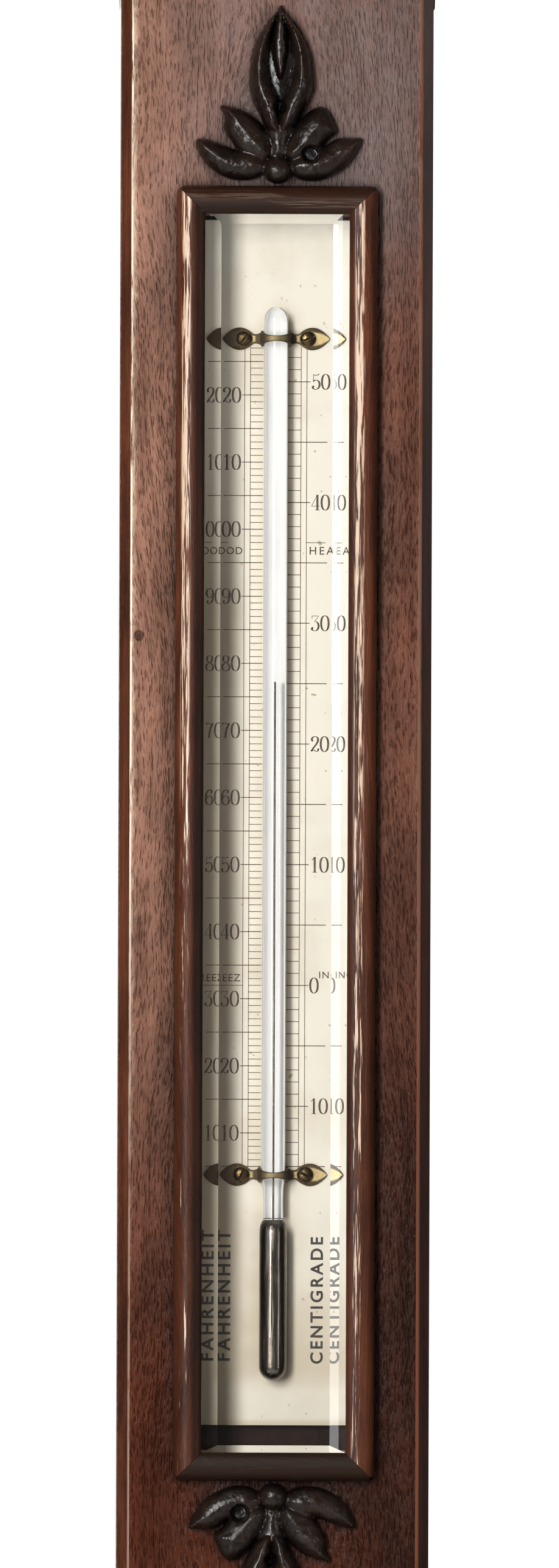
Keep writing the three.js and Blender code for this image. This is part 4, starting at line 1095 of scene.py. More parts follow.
def make_rake(side, node):
    """A raking moulding, with its section upright and a plumb joint at the peak."""
    low, high = front_box("rake_right")
    foot = front_box("cornice")[1].y + 0.1
    body = front_box("tympanum")[1].z
    height = 9.0
    lip = height * 0.3
    reach = high.z - body
    under = height - lip
    start = (body + reach * 0.3, 0.0)
    hollow = [start, (body + reach * 0.42, under - 1), (body + reach * 0.7, under - 0.6)]
    section = [(low.z, 0.0)] + bend(hollow, 10)
    section += [(body + reach * 0.8, under), (high.z, under), (high.z, height - 0.4)]
    section += [(high.z - 0.4, height), (low.z, height)]
    slope = (high.y - height - foot) / high.x
    rings = []
    for x in (low.x, high.x):
        lift = foot + (high.x - x) * slope
        rings.append([(side * x, y + lift, z) for z, y in section])
    make_moulding(f"oak_{node}", rings, node)


class BAROMETER_OT_case(bpy.types.Operator):
    """Boards of the case and the mouldings of the pediment"""

    bl_idname = "barometer.case"
    bl_label = "Oak case"

    def execute(self, context):
        shape, finishes = case_board()
        board = new_piece("oak_case_board", shape, BOARD_LOOKS, replaces=("case_board",), smooth=20)
        for polygon, material in zip(board.data.polygons, finishes):
            polygon.material_index = material
        soften(board, sizes().arris, worn=True)
        for side, name in ((-1, "left"), (1, "right")):
            make_shoulder(side, f"shoulder_{name}")
            make_bracket(side, f"bracket_{name}")
            make_rake(side, f"rake_{name}")
        make_apron()
        make_cornice()
        dress("frieze_board", "level_oak", sizes().arris)
        dress("dentil_strip", "level_moulding_oak", 0.25)
        dress("tympanum", "level_oak", sizes().arris)
        return {"FINISHED"}


# Box moulding and glass

# How far the rails lap over the pane
LAPS = {"box_moulding_top": 3.1, "box_moulding_bottom": 0.8}
SIDE_LAP = 1.7
# Stations along half a rail, close together at its rounded corner
CORNER_STATIONS = (-1.0, -0.9975, -0.995, -0.9925, -0.99, -0.985, -0.95)
# Heights in a rail's section at which its round springs from its outer and its inner side
OUTER_SPRING, INNER_SPRING = 1.6, 3.9
RAIL_WIDTH = 6.2
RAIL_GAP = 0.05
# Offset of the grain from one rail to the next
GRAIN_STEP = 400
# The pane: height of its rim, rise and width of its bevels, and its fine lower arris
PANE_RIM, PANE_RISE = 1.6, 2.4
BEVEL, FOOT_BEVEL = 5.2, 2.4
PANE_ARRIS = 0.15


def make_rail(node, turn):
    """One half round rail of the box, made on the right and turned round the middle of the box."""
    upright = turn % 2 == 0
    side_low, side_high = front_box("box_moulding_right")
    top = front_box("box_moulding_top")[1].y - RAIL_WIDTH
    reach, run = (side_low.x, top) if upright else (top, side_low.x)
    low, high = front_box(node)
    crest = high.z - low.z
    wide = side_high.x - side_low.x
    half = wide / 2
    lap = LAPS.get(node, SIDE_LAP)
    under = PANE_RIM + PANE_RISE * lap / BEVEL + 2 * RAIL_GAP
    corner = sizes().rail_corner
    section = [(lap + 0.3, 0.0), (wide, 0.0)]
    section += arc(half, OUTER_SPRING, half, 0, QUARTER, 18, (crest - OUTER_SPRING) / half)
    section += arc(half, INNER_SPRING, half, QUARTER, math.pi, 14, (crest - INNER_SPRING) / half)[1:]
    section += [(0.0, under), (lap + 0.3, under)]
    lengths = [0.0]
    for a, b in zip(section, section[1:]):
        lengths.append(lengths[-1] + math.dist(a, b))
    start, end = lengths[1], lengths[-3]
    rings, uvs = [], []
    for station in (*CORNER_STATIONS, -0.5, 0.0, 0.5, *(-value for value in reversed(CORNER_STATIONS))):
        ring = []
        for (across, height), length in zip(section, lengths):
            along = station * (run + across - RAIL_GAP)
            past = abs(along) - (run + wide - corner)
            if past > 0 and across > half:
                outside = wide - corner + math.sqrt(max(corner * corner - past * past, 0.0))
                across = half + (across - half) * (outside - half) / half
                along = station * (run + across - RAIL_GAP)
            ring.append(turned_point(reach + across, along, turn) + (low.z + height,))
            share = min(max((length - start) / (end - start), 0.0), 1.0)
            uvs.append((share, (along + GRAIN_STEP * turn) * MM))
        rings.append(ring)
    look = "moulding_oak" if upright else "dull_moulding_oak"
    new_piece(f"oak_{node}", loft(rings), look, replaces=(node,), uvs=uvs)


def turned_point(x, y, turn):
    """A point turned round the middle of the box by a number of quarter turns."""
    return [(x, y), (-y, x), (-x, -y), (y, -x)][turn % 4]


def make_box_glass():
    """A pane with ground bevels. Its faces are flat, so that it bends light only at the bevels."""
    rings = []
    for inset, foot_inset, height in (
        (PANE_ARRIS, PANE_ARRIS, GLASS_LOW.z),
        (0.0, 0.0, GLASS_LOW.z + PANE_ARRIS),
        (0.0, 0.0, GLASS_LOW.z + PANE_RIM),
        (BEVEL, FOOT_BEVEL, GLASS_HIGH.z),
    ):
        left, right = GLASS_LOW.x + inset, GLASS_HIGH.x - inset
        foot, top = GLASS_LOW.y + foot_inset, GLASS_HIGH.y - inset
        rings.append([(x, y, height) for x, y in ((left, foot), (right, foot), (right, top), (left, top))])
    pane = loft(rings)
    new_piece("bevelled_box_glass", pane, "clear_glass", replaces=("box_glass",), smooth=2)


class BAROMETER_OT_box(bpy.types.Operator):
    """Half round rails and bevelled glass of the thermometer box"""

    bl_idname = "barometer.box"
    bl_label = "Thermometer box"

    def execute(self, context):
        for turn, name in enumerate(("right", "top", "left", "bottom")):
            make_rail(f"box_moulding_{name}", turn)
        make_box_glass()
        return {"FINISHED"}


# Carving


def relief(spread, rise, step, field):
    """A closed carving on a flat seat at height 0.

    The field gives, for grids of x and y, how far inside the outline a point is and how high it stands.
    """
    xs = np.arange(spread[0], spread[1] + step, step)
    ys = np.arange(rise[0], rise[1] + step, step)
    grid_x, grid_y = np.meshgrid(xs, ys)
    inside, height = field(grid_x, grid_y)
    vertices, found = [], {}

    def corner(spot, level):
        key = (spot, level)
        if key not in found:
            found[key] = len(vertices)
            vertices.append((xs[spot[1]], ys[spot[0]], height[spot] if level else 0.0))
        return found[key]

    def crossing(a, b):
        key = (min(a, b), max(a, b))
        if key not in found:
            share = inside[a] / (inside[a] - inside[b])
            found[key] = len(vertices)
            x = xs[a[1]] + share * (xs[b[1]] - xs[a[1]])
            y = ys[a[0]] + share * (ys[b[0]] - ys[a[0]])
            vertices.append((x, y, 0.0))
        return found[key]

    def clipped(triangle, level):
        points = []
        for a, b in zip(triangle, triangle[1:] + triangle[:1]):
            if inside[a] > 0:
                points.append(corner(a, level))
            if (inside[a] > 0) != (inside[b] > 0):
                points.append(crossing(a, b))
        return points

    faces = []
    for i in range(len(ys) - 1):
        for j in range(len(xs) - 1):
            a, b, c, d = (i, j), (i, j + 1), (i + 1, j + 1), (i + 1, j)
            halves = ((a, b, c), (a, c, d)) if (i + j) % 2 else ((a, b, d), (b, c, d))
            for triangle in halves:
                for level in (1, 0):
                    points = clipped(triangle, level)
                    if len(points) > 2:
                        faces.append(tuple(points if level else reversed(points)))
    return vertices, faces


def leafy(leaves, berry, pits):
    """A field of plump leaves, a berry and pits.

    A leaf is an outline with its height, the width of its rounded margin and its lift over the board.
    """

    def field(x, y):
        inside = np.full(x.shape, -1e3)
        height = np.zeros(x.shape)
        for outline, rise, margin, lift in leaves:
            depth = depth_inside(x, y, smooth_line(outline, True, 5))
            inside = np.maximum(inside, depth)
            share = np.clip(depth / margin, 0, 1)
            dome = lift + rise * np.sqrt(1 - (1 - share) ** 2)
            height = np.where(depth > 0, np.maximum(height, dome), height)
        away = np.hypot(x, y / 0.9)
        inside = np.maximum(inside, berry - away)
        dome = 1.6 + 1.15 * np.sqrt(np.maximum(berry * berry - away * away, 0.0))
        height = np.where(away < berry, np.maximum(height, dome), height)
        for px, py, radius, depth in pits:
            height -= depth / (1 + (np.hypot(x - px, y - py) / radius) ** 14)
        return inside, np.maximum(height, 0.15)

    return field


def depth_inside(x, y, outline):
    """How deep each point lies inside a closed outline, below zero outside it."""
    nearest = np.full(x.shape, 1e6)
    crossings = np.zeros(x.shape, dtype=int)
    for (ax, ay), (bx, by) in zip(outline, outline[1:] + outline[:1]):
        dx, dy = bx - ax, by - ay
        share = np.clip(((x - ax) * dx + (y - ay) * dy) / max(dx * dx + dy * dy, 1e-9), 0, 1)
        nearest = np.minimum(nearest, np.hypot(x - ax - share * dx, y - ay - share * dy))
        level = (ay > y) != (by > y)
        crossings += level & (x < ax + (y - ay) * dx / (dy if abs(dy) > 1e-9 else 1e-9))
    return np.where(crossings % 2 == 1, nearest, -nearest)


def listed(text, parts=1):
    """Points from a list of x and y by turns, in parts of a millimetre or of a letter's height."""
    values = [float(each) / parts for each in text.split()]
    return list(zip(values[::2], values[1::2]))


# Leaves of the husk, from the middle of its berry: outline, height, rounded margin and lift
HUSK = (
    (
        "-17.8 6.3  -16.9 3.2  -14.6 0.4  -11.4 -1.6  -7.9 -2.3  -4.4 -1.8  -1.8 0.4  "
        "-3.5 3.8  -6.5 4.7  -9 4.5  -13.2 5.9  -16.3 6.8",
        (3.4, 4.2, 0.7),
    ),
    (
        "-12.5 13.9  -11.4 11.4  -11.8 9.2  -10.2 6.4  -8.6 4.2  -5.5 2  -2.4 1.6  "
        "-0.8 3.8  -1.8 7.2  -3.9 10.4  -6.6 12.5  -9.6 13.6",
        (3.8, 4.6, 0.6),
    ),
    (
        "18.4 6.9  17.4 4.2  15.6 1.5  12.9 -0.7  9.8 -2.1  7.2 -2.4  4.5 -1.9  "
        "1.8 0.4  3.6 3.6  6.6 4.8  9.6 5  12.9 6.9  16 7",
        (3.4, 4.2, 0.7),
    ),
    (
        "9.4 13.9  7.2 13.1  5.3 11.5  3.5 9.3  2.4 7.2  1 3.8  2.6 1.6  "
        "6 2.2  9.2 4.4  11 6.6  12.9 8.3  12.2 10.6  11 12.9",
        (3.8, 4.6, 0.6),
    ),
    (
        "-6.2 20.5  -6.1 17.3  -5.2 14.4  -3.9 11.8  -2.4 9  0.2 8  0.6 12  "
        "0.2 15.4  -1.6 19.5  -2.2 24  -1.7 29  0 34.6  -3.4 30.5  -5.6 25.5",
        (4.6, 3.2, 0.9),
    ),
    (
        "7.5 20.5  7.6 18  6.8 15.3  5.5 12.7  3.6 9.6  0.6 8  0 12  "
        "0.8 15.4  2.6 19.5  3.2 24  2.7 29  0.8 34.6  4.6 30.5  6.8 25.5",
        (4.8, 3.4, 0.9),
    ),
    (
        "-2.6 9.4  -2 6  -1.7 2.5  2 2.5  2.4 6  3.6 9.6  0.5 12",
        (2.6, 2.6, 0.6),
    ),
    (
        "-2.4 20  0.5 13.6  3.2 20  3.4 26  0.6 33.5  -2.4 26",
        (0.9, 2.5, 0.2),
    ),
    (
        "-0.5 22  0.5 19.5  1.5 22  2.2 28  0.5 36  -1.3 28",
        (2.4, 1.6, 0.6),
    ),
)
HUSK_BERRY = 3.3
HUSK_PITS = ((7.2, 3.5, 1.6, 4.6), (0.5, 13.6, 1.2, 3.0))
HUSK_SPREAD = (-18.5, 19.0)
HUSK_RISE = (-3.4, 36.6)
HUSK_SEAT, HUSK_TALL = 3.15, 39.2


def make_husk(node, middle_y, size, upside_down):
    """A carved husk whose berry lies at a height, with its leaves above or below it."""
    step = 0.28
    leaves = [(listed(outline), *shape) for outline, shape in HUSK]
    vertices, faces = relief(HUSK_SPREAD, HUSK_RISE, step, leafy(leaves, HUSK_BERRY, HUSK_PITS))
    seat = front_box(node)[0].z
    side = -size if upside_down else size
    relief_scale = sizes().carving_relief / max(vertex[2] for vertex in vertices)
    placed = [(side * x, middle_y + side * y, seat + relief_scale * z) for x, y, z in vertices]
    new_piece(f"carved_{node}", (placed, faces), "carved_oak", replaces=(node,), smooth=80)


def make_rosette():
    """A rosette of eight petals round a boss."""
    low, high = front_box("rosette")
    radius = (high.x - low.x) / 2
    petals = 8
    boss = radius * 0.3

    def field(x, y):
        away = np.hypot(x, y)
        around = np.arctan2(y, x) * petals
        rim = radius * (0.94 + 0.06 * np.cos(around))
        share = away / radius
        petal = (1.1 + 2.9 * np.sin(np.clip(share, 0, 1) * math.pi) ** 0.8) * (0.8 + 0.2 * np.cos(around))
        groove = 0.5 * np.exp(-((np.abs(np.sin(around / 2)) - 1) / 0.02) ** 2)
        dome = 2.2 + np.sqrt(np.maximum(boss * boss - away * away, 0)) * 0.9
        height = np.where(away < boss, np.maximum(dome, petal), petal - groove)
        return rim - away, np.clip(height, 0.2, high.z - low.z)

    vertices, faces = relief((-radius, radius), (-radius, radius), 0.22, field)
    middle = (low.y + high.y) / 2
    rosette = ([(x, y + middle, z + low.z) for x, y, z in vertices], faces)
    new_piece("carved_rosette", rosette, "carved_oak", replaces=("rosette",), smooth=80)


class BAROMETER_OT_carving(bpy.types.Operator):
    """Husks above and below the box and on the apron, and the rosette of the pediment"""

    bl_idname = "barometer.carving"
    bl_label = "Carving"

    def execute(self, context):
        make_husk("upper_carving", front_box("upper_carving")[0].y + HUSK_SEAT, 1.0, False)
        make_husk("lower_carving", front_box("lower_carving")[1].y - HUSK_SEAT, 1.0, True)
        low, high = front_box("apron_carving")
        size = (high.y - low.y) / HUSK_TALL
        make_husk("apron_carving", high.y - HUSK_SEAT * size, size, True)
        make_rosette()
        return {"FINISHED"}


# Thermometer


def stem_outline():
    """Radius and height along the glass rod, with its narrow neck and round top."""
    low, high = front_box("thermometer_stem")
    radius, neck = high.x, 2.3
    profile = [(0.0, low.y), (neck - 0.2, low.y), (neck, low.y + 0.2), (neck - 0.12, low.y + 3.5)]
    profile += [(neck, low.y + 7), (neck + (radius - neck) * 0.5, low.y + 8), (radius, low.y + 9.4)]
    profile += arc(0, high.y - radius, radius, 0, QUARTER, 12)
    profile[-1] = (0.0, profile[-1][1])
    return profile


def stem_axis():
    """Where the upright axis of the stem stands: x and z."""
    low, high = front_box("thermometer_stem")
    return (0.0, (low.z + high.z) / 2)


def make_stem():
    """A glass rod with a band of white enamel behind its bore."""
    axis = stem_axis()
    rod = lathe(stem_outline(), 64, axis, upright=True)
    new_piece("stem_glass", rod, "clear_glass", replaces=("thermometer_stem",))
    low, high = front_box("thermometer_stem")
    past = 0.35
    band = arc(0, 0, high.x - 0.25, -math.pi - past, past, 32)
    band += arc(0, 0, high.x - 0.75, past, -math.pi - past, 32)
    top = high.y - 0.9
    stations = [(low.y + 0.3, 0.82), (low.y + 7, 0.82), (low.y + 9.5, 1.0), (top - 2.6, 1.0)]
    stations += [(top - 1.4, 0.86), (top - 0.5, 0.62), (top, 0.3)]
    rings = [[(x * size, height, axis[1] + z * size) for x, z in band] for height, size in stations]
    new_piece("stem_enamel", loft(rings), "enamel", smooth=40)


def bulb_outline(radius, foot, top, shoulder, mouth):
    """Radius and height along a bulb that narrows to a mouth."""
    profile = [(0.0, foot)] + arc(0, foot + radius, radius, -QUARTER, 0, 14)[1:]
    profile += bend([(radius, top - shoulder), (radius, top - shoulder * 0.25), (mouth, top)], 12)
    return profile


def make_bulb():
    """The glass bulb, and the mercury that fills it and stands in the bore."""
    axis = stem_axis()
    low, high = front_box("thermometer_bulb")
    radius = (high.x - low.x) / 2
    profile = bulb_outline(radius, low.y, high.y, 3.0, 2.2) + [(0.0, high.y)]
    bulb = lathe(profile, 64, axis, upright=True)
    new_piece("bulb_glass", bulb, "clear_glass", replaces=("thermometer_bulb",))
    thread = sizes().thread_width / 2
    column = front_box("mercury")[1].y
    filled = bulb_outline(radius - 0.12, low.y + 0.12, high.y - 0.35, 2.8, 1.5)
    filled += [(thread * 1.4, high.y - 0.2), (thread, high.y + 0.6), (thread, column - thread)]
    mercury = lathe(filled + [(0.0, column)], 48, axis, upright=True)
    new_piece("mercury_column", mercury, "mercury", replaces=("mercury",))


def clip_path(middle_z, radius):
    """Stations of a strap over the stem, from one ear's tip to the other: x, z, half width and tilt."""
    low, high = front_box("clip_upper")
    tip, root = high.x, 4.2
    flat = low.z + 0.25
    half = (high.y - low.y) / 2
    stations = []
    for i in range(19):
        share = i / 18
        width = max(half * math.sin(math.pi * share) ** 0.75, 0.12 if share < 0.5 else 1.0)
        stations.append((-tip + (tip - root) * share, flat, width, 0.0))
    stations.append((-radius - 0.35, flat, 1.3, 0.2))
    stations.append((-radius - 0.06, flat + 0.3, 1.6, 1.1))
    stations.append((-radius, flat + 0.9, 1.75, QUARTER))
    stations.append((-radius, middle_z, 1.5, QUARTER))
    for i in range(1, 13):
        angle = math.pi - QUARTER * i / 12
        x, z = radius * math.cos(angle), middle_z + radius * math.sin(angle)
        stations.append((x, z, 1.5 - 0.9 * math.sin(QUARTER * i / 12), angle - QUARTER))
    other = [(-x, z, width, -tilt) for x, z, width, tilt in reversed(stations[:-1])]
    return stations + other


def make_clip(node):
    """A brass strap over the stem with a pointed ear on each side."""
    low, high = front_box(node)
    middle = (low.y + high.y) / 2
    axis = stem_axis()[1]
    thick = 0.5
    inner = front_box("thermometer_stem")[1].x + 0.15
    rings, uvs = [], []
    section = [(-1, -1), (-1, 0.3), (-0.93, 1), (-0.5, 1), (0, 1)]
    section += [(0.5, 1), (0.93, 1), (1, 0.3), (1, -1), (0, -1)]
    for x, z, half, tilt in clip_path(axis, inner + thick / 2):
        normal = (-math.sin(tilt), math.cos(tilt))
        ring = []
        for across, up in section:
            lift = up * thick / 2
            ring.append((x + normal[0] * lift, middle + across * half, z + normal[1] * lift))
            uvs.append((0.5 + across / 2, abs(x) / high.x))
        rings.append(ring)
    strap = loft(rings)
    new_piece(f"brass_{node}", strap, "strap_brass", replaces=(node,), uvs=uvs, smooth=50)


def slotted_head(x, y, foot, radius, height, slot, angle):
    """A domed screw head with a slot: a low disc and two half domes."""
    step = height * 0.3
    dome = QUARTER * 0.8
    parts = [lathe([(0.0, 0.0), (radius, 0.0), (radius, step), (0.0, step)], 40)]
    for side in (0, math.pi):
        rings = []
        for k in range(9):
            turn = dome * k / 8
            rim = radius * math.cos(turn) - 0.04
            rise = step + (height - step) * math.sin(turn) / math.sin(dome)
            start = math.asin(min(slot / 2 / rim, 0.9))
            points = arc(0, 0, rim, start, math.pi - start, 18)
            rings.append([spin(px, py, side) + (rise,) for px, py in points])
        parts.append(loft(rings))
    vertices, faces = placed_shape(merge(parts), 1, x, y, angle)
    return [(px, py, foot + pz) for px, py, pz in vertices], faces


def spin(x, y, angle):
    """A point turned anticlockwise about the origin."""
    return (x * math.cos(angle) - y * math.sin(angle), x * math.sin(angle) + y * math.cos(angle))


# Angle of each screw's slot
CLIP_SCREW_TURNS = (0.9, 0.4, 1.1, -0.5)


class BAROMETER_OT_thermometer(bpy.types.Operator):
    """Glass stem and bulb, mercury, brass clips and their slotted screws"""

    bl_idname = "barometer.thermometer"
    bl_label = "Thermometer"

    def execute(self, context):
        make_stem()
        make_bulb()
        make_clip("clip_upper")
        make_clip("clip_lower")
        height = 1.1
        for number, turn in enumerate(CLIP_SCREW_TURNS, 1):
            node = f"clip_screw_{number}"
            low, high = front_box(node)
            middle = (low + high) / 2
            radius = (high.x - low.x) / 2
            head = slotted_head(middle.x, middle.y, high.z - height, radius, height, 0.5, turn)
            new_piece(f"slotted_{node}", head, "screw_brass", replaces=(node,), smooth=40)
        return {"FINISHED"}


# Numbers and lines

# Gap between a surface and the ink on it
INK_GAP = 0.004


def ink_slab(outline, surface_z):
    """A filled shape just over a surface."""
    back = surface_z + INK_GAP
    return slab(outline, back, back + sizes().ink_height)


def bar(start, end, width, surface_z):
    """A straight filled line on a surface."""
    (x0, y0), (x1, y1) = start, end
    length = math.hypot(x1 - x0, y1 - y0)
    dx, dy = -(y1 - y0) / length * width / 2, (x1 - x0) / length * width / 2
    outline = [(x0 - dx, y0 - dy), (x1 - dx, y1 - dy), (x1 + dx, y1 + dy), (x0 + dx, y0 + dy)]
    return ink_slab(outline, surface_z)


def smooth_line(points, closed, steps=6):
    """A curve through its points."""
    count = len(points)
    result = []
    for i in range(count if closed else count - 1):
        near = [(i + k) % count if closed else min(max(i + k, 0), count - 1) for k in (-1, 0, 1, 2)]
        around = [points[each] for each in near]
        for k in range(steps):
            t = k / steps
            middle = (2 - 5 * t * t + 3 * t**3, t + 4 * t * t - 3 * t**3)
            blend = (-t + 2 * t * t - t**3, *middle, -t * t + t**3)
            result.append(tuple(sum(w * p[axis] for w, p in zip(blend, around)) / 2 for axis in (0, 1)))
    return result if closed else result + [points[-1]]


THIN, THICK = 0.034, 0.13


def ribbon(points, closed, heavy):
    """Outline of a pen stroke that is heavy where it runs upright and fine where it runs level."""
    line = smooth_line(points, closed) if len(points) > 2 else list(points)
    count = len(line)
    left, right = [], []
    for i, (x, y) in enumerate(line):
        ahead = line[(i + 1) % count] if closed else line[min(i + 1, count - 1)]
        behind = line[i - 1] if closed or i else line[0]
        dx, dy = ahead[0] - behind[0], ahead[1] - behind[1]
        length = math.hypot(dx, dy)
        half = (THIN + (heavy - THIN) * abs(dy / length) ** 1.6) / 2
        left.append((x - dy / length * half, y + dx / length * half))
        right.append((x + dy / length * half, y - dx / length * half))
    return left, right


# Strokes of each number, in hundredths of its height: points, whether the stroke closes, and how heavy it is
NUMBER_WIDTH = 0.62
NUMBER_STROKES = {
    "0": (
        ("29 99  47 85  53 50  47 15  29 1  11 15  5 50  11 85", True, THICK),
    ),
    "1": (
        ("31 0  31 100", False, THICK),
        ("13 80  31 98", False, THIN * 1.4),
        ("15 1.5  47 1.5", False, THIN),
    ),
    "2": (
        ("10 72  12 88  28 98.5  46 90  49 72  38 48  20 24  6 3", False, THICK),
        ("6 4  20 11  36 3  48 6  52 22", False, THICK * 0.9),
    ),
    "3": (
        ("8 80  8 98.5", False, THIN),
        ("8 97  50 97", False, THIN * 2),
        ("50 97  24 60", False, THIN),
        ("24 60  42 56  51 33  42 8  25 1.5  10 8  7 20", False, THICK),
    ),
    "4": (
        ("40 100  40 0", False, THICK),
        ("40 99  2 27", False, THIN),
        ("2 27  56 27", False, THIN),
        ("26 1.5  54 1.5", False, THIN),
    ),
    "5": (
        ("12 96  30 92  50 99", False, THICK),
        ("12 97  10 52", False, THIN),
        ("10 52  28 62  46 52  52 32  44 10  25 1.5  10 8  7 20", False, THICK),
    ),
    "6": (
        ("48 82  42 95  30 98.5  13 82  6 45  12 12  29 1", False, THICK),
        ("29 1  46 10  52 31  45 52  29 59  13 50  8 36", False, THICK),
    ),
    "7": (
        ("6 78  6 98", False, THIN),
        ("6 90  20 97  36 90  52 95", False, THICK),
        ("52 95  34 55  26 0", False, THICK),
    ),
    "8": (
        ("29 98.5  43 93  47 77  40 60  29 53  17 61  11 77  16 93", True, THICK * 0.85),
        ("29 53  45 44  53 25  45 6  29 1  12 6  5 25  13 44", True, THICK),
    ),
}
NUMBER_STROKES["9"] = NUMBER_STROKES["6"]
NUMBER_DOTS = {"2": (0.13, 0.72), "3": (0.11, 0.2), "5": (0.11, 0.2), "6": (0.44, 0.82), "9": (0.14, 0.18)}


def number_parts(text, surface_z):
    """A number as filled shapes, one high, with its left end at 0. Returns them with its width."""
    parts = []
    for place, digit in enumerate(text):
        shift = place * NUMBER_WIDTH
        for stroke, closed, heavy in NUMBER_STROKES[digit]:
            points = listed(stroke, 100)
            if digit == "9":
                points = [(0.58 - x, 1 - y) for x, y in points]
            left, right = ribbon(points, closed, heavy)
            if closed:
                left, right = left + left[:1], right + right[:1]
            for i in range(len(left) - 1):
                quad = [left[i], left[i + 1], right[i + 1], right[i]]
                parts.append(ink_slab([(x + shift, y) for x, y in quad], surface_z))
        if digit in NUMBER_DOTS:
            x, y = NUMBER_DOTS[digit]
            parts.append(ink_slab(arc(x + shift, y, 0.062, 0, 2 * math.pi, 12)[:-1], surface_z))
    return merge(parts), NUMBER_WIDTH * len(text) - 0.04


def placed_shape(shape, size, x, y, angle=0.0, pivot=(0.0, 0.0)):
    """A flat shape scaled, turned about its pivot and moved; its heights stay."""
    vertices, faces = shape
    result = []
    for px, py, pz in vertices:
        sx, sy = spin((px - pivot[0]) * size, (py - pivot[1]) * size, angle)
        result.append((x + sx, y + sy, pz))
    return result, faces


def word_parts(text, surface_z, spacing=1.0, bold=0.006):
    """A word as filled shapes, one high, with its left end at 0. Returns them with its width."""
    curve = bpy.data.curves.new("word", "FONT")
    curve.body = text
    curve.space_character = spacing
    curve.extrude = 0.5
    curve.offset = bold
    letters = bpy.data.objects.new("word", curve)
    bpy.context.scene.collection.objects.link(letters)
    bpy.context.view_layer.update()
    mesh = bpy.data.meshes.new_from_object(letters.evaluated_get(bpy.context.evaluated_depsgraph_get()))
    points = np.array([vertex.co for vertex in mesh.vertices])
    low, high = points.min(0), points.max(0)
    size = 1 / (high[1] - low[1])
    vertices = []
    for x, y, z in points:
        rise = INK_GAP + (sizes().ink_height if z > 0 else 0.0)
        vertices.append(((x - low[0]) * size, (y - low[1]) * size, surface_z + rise))
    faces = [tuple(polygon.vertices) for polygon in mesh.polygons]
    bpy.data.objects.remove(letters)
    bpy.data.curves.remove(curve)
    bpy.data.meshes.remove(mesh)
    return (vertices, faces), (high[0] - low[0]) * size


# Scale plate

# Height of the freezing point and of one degree centigrade
FREEZING = -33.25
DEGREE = 2.638
# Degrees Fahrenheit of the freezing point, of blood heat and of the ends of the rules
FREEZING_POINT, BLOOD_HEAT = 32, 98
LOWEST_DEGREE, HIGHEST_DEGREE = 4.4, 127.2
# Distances to the side from the middle of the stem
INNER_RULE, OUTER_RULE, STEM_GAP = 5.52, 6.79, 2.75
NUMBER_REACH, LONG_REACH = 7.35, 11.3
LEFT_NUMBERS, RIGHT_NUMBERS = 7.6, 7.8


def left_height(degrees):
    """Height of a reading in degrees Fahrenheit."""
    return FREEZING + DEGREE * (degrees - FREEZING_POINT) / 1.8


def right_height(degrees):
    """Height of a reading in degrees centigrade."""
    return FREEZING + DEGREE * degrees


def degree_lines(side, degrees, height_of, number_reach, front):
    """A short line for each degree, and longer ones for each fifth and tenth."""
    lines = []
    for each in degrees:
        reach = number_reach if each % 10 == 0 else LONG_REACH if each % 5 == 0 else INNER_RULE
        width = sizes().ink_line * (1.0 if each % 5 else 1.3)
        y = height_of(each)
        lines.append(bar((side * STEM_GAP, y), (side * reach, y), width, front))
    return lines


def scale_lines(front):
    """The rules beside the stem, the degrees of both scales, and the lines of the words."""
    line = sizes().ink_line
    low, high = left_height(LOWEST_DEGREE), left_height(HIGHEST_DEGREE)
    rules = (-OUTER_RULE, -INNER_RULE, INNER_RULE, OUTER_RULE)
    lines = [bar((x, low), (x, high), line, front) for x in rules]
    lines += degree_lines(-1, range(5, 128), left_height, NUMBER_REACH, front)
    lines += degree_lines(1, range(-15, 53), right_height, NUMBER_REACH + 0.2, front)
    blood, freezing = left_height(BLOOD_HEAT), left_height(FREEZING_POINT)
    lines.append(bar((OUTER_RULE, blood), (LONG_REACH - 0.3, blood), line, front))
    lines.append(bar((-13.4, blood), (-10.4, blood), line, front))
    lines.append(bar((-OUTER_RULE, freezing), (-14.4, freezing), line, front))
    return lines


def scale_numbers(front):
    """Every tenth degree Fahrenheit on the left, and centigrade on the right."""
    tall = sizes().number_height
    numbers = []
    for degrees in range(10, 121, 10):
        shape, width = number_parts(str(degrees), front)
        left = -LEFT_NUMBERS - width * tall
        numbers.append(placed_shape(shape, tall, left, left_height(degrees) - tall / 2))
    for degrees in range(-10, 51, 10):
        shape, width = number_parts(str(abs(degrees)), front)
        numbers.append(placed_shape(shape, tall, RIGHT_NUMBERS, right_height(degrees) - tall / 2))
    return numbers


# Words of the scale: text, x, y, height, spacing and whether x is their right end
SCALE_WORDS = (
    ("BLOOD", -7.2, 60.9, 1.6, 1.1, True),
    ("HEAT", 7.5, 60.9, 1.7, 1.35, False),
    ("FREEZ", -7.3, -32.4, 1.6, 1.1, True),
    ("ING", 9.9, -31.7, 1.5, 1.2, False),
)
# Words that stand upright at the foot of the scale: text, x, y and length
UNIT_WORDS = (("FAHRENHEIT", -9.25, -115.3, 28.6), ("CENTIGRADE", 11.0, -115.9, 27.7))


def scale_words(front):
    """The words beside the degrees, and the two units at the foot."""
    words = []
    for text, x, y, size, spacing, from_right in SCALE_WORDS:
        shape, width = word_parts(text, front, spacing)
        words.append(placed_shape(shape, size, x - width * size if from_right else x, y))
    for text, x, y, length in UNIT_WORDS:
        shape, width = word_parts(text, front, 1.3, 0.022)
        words.append(placed_shape(shape, length / width, x, y, QUARTER))
    return words


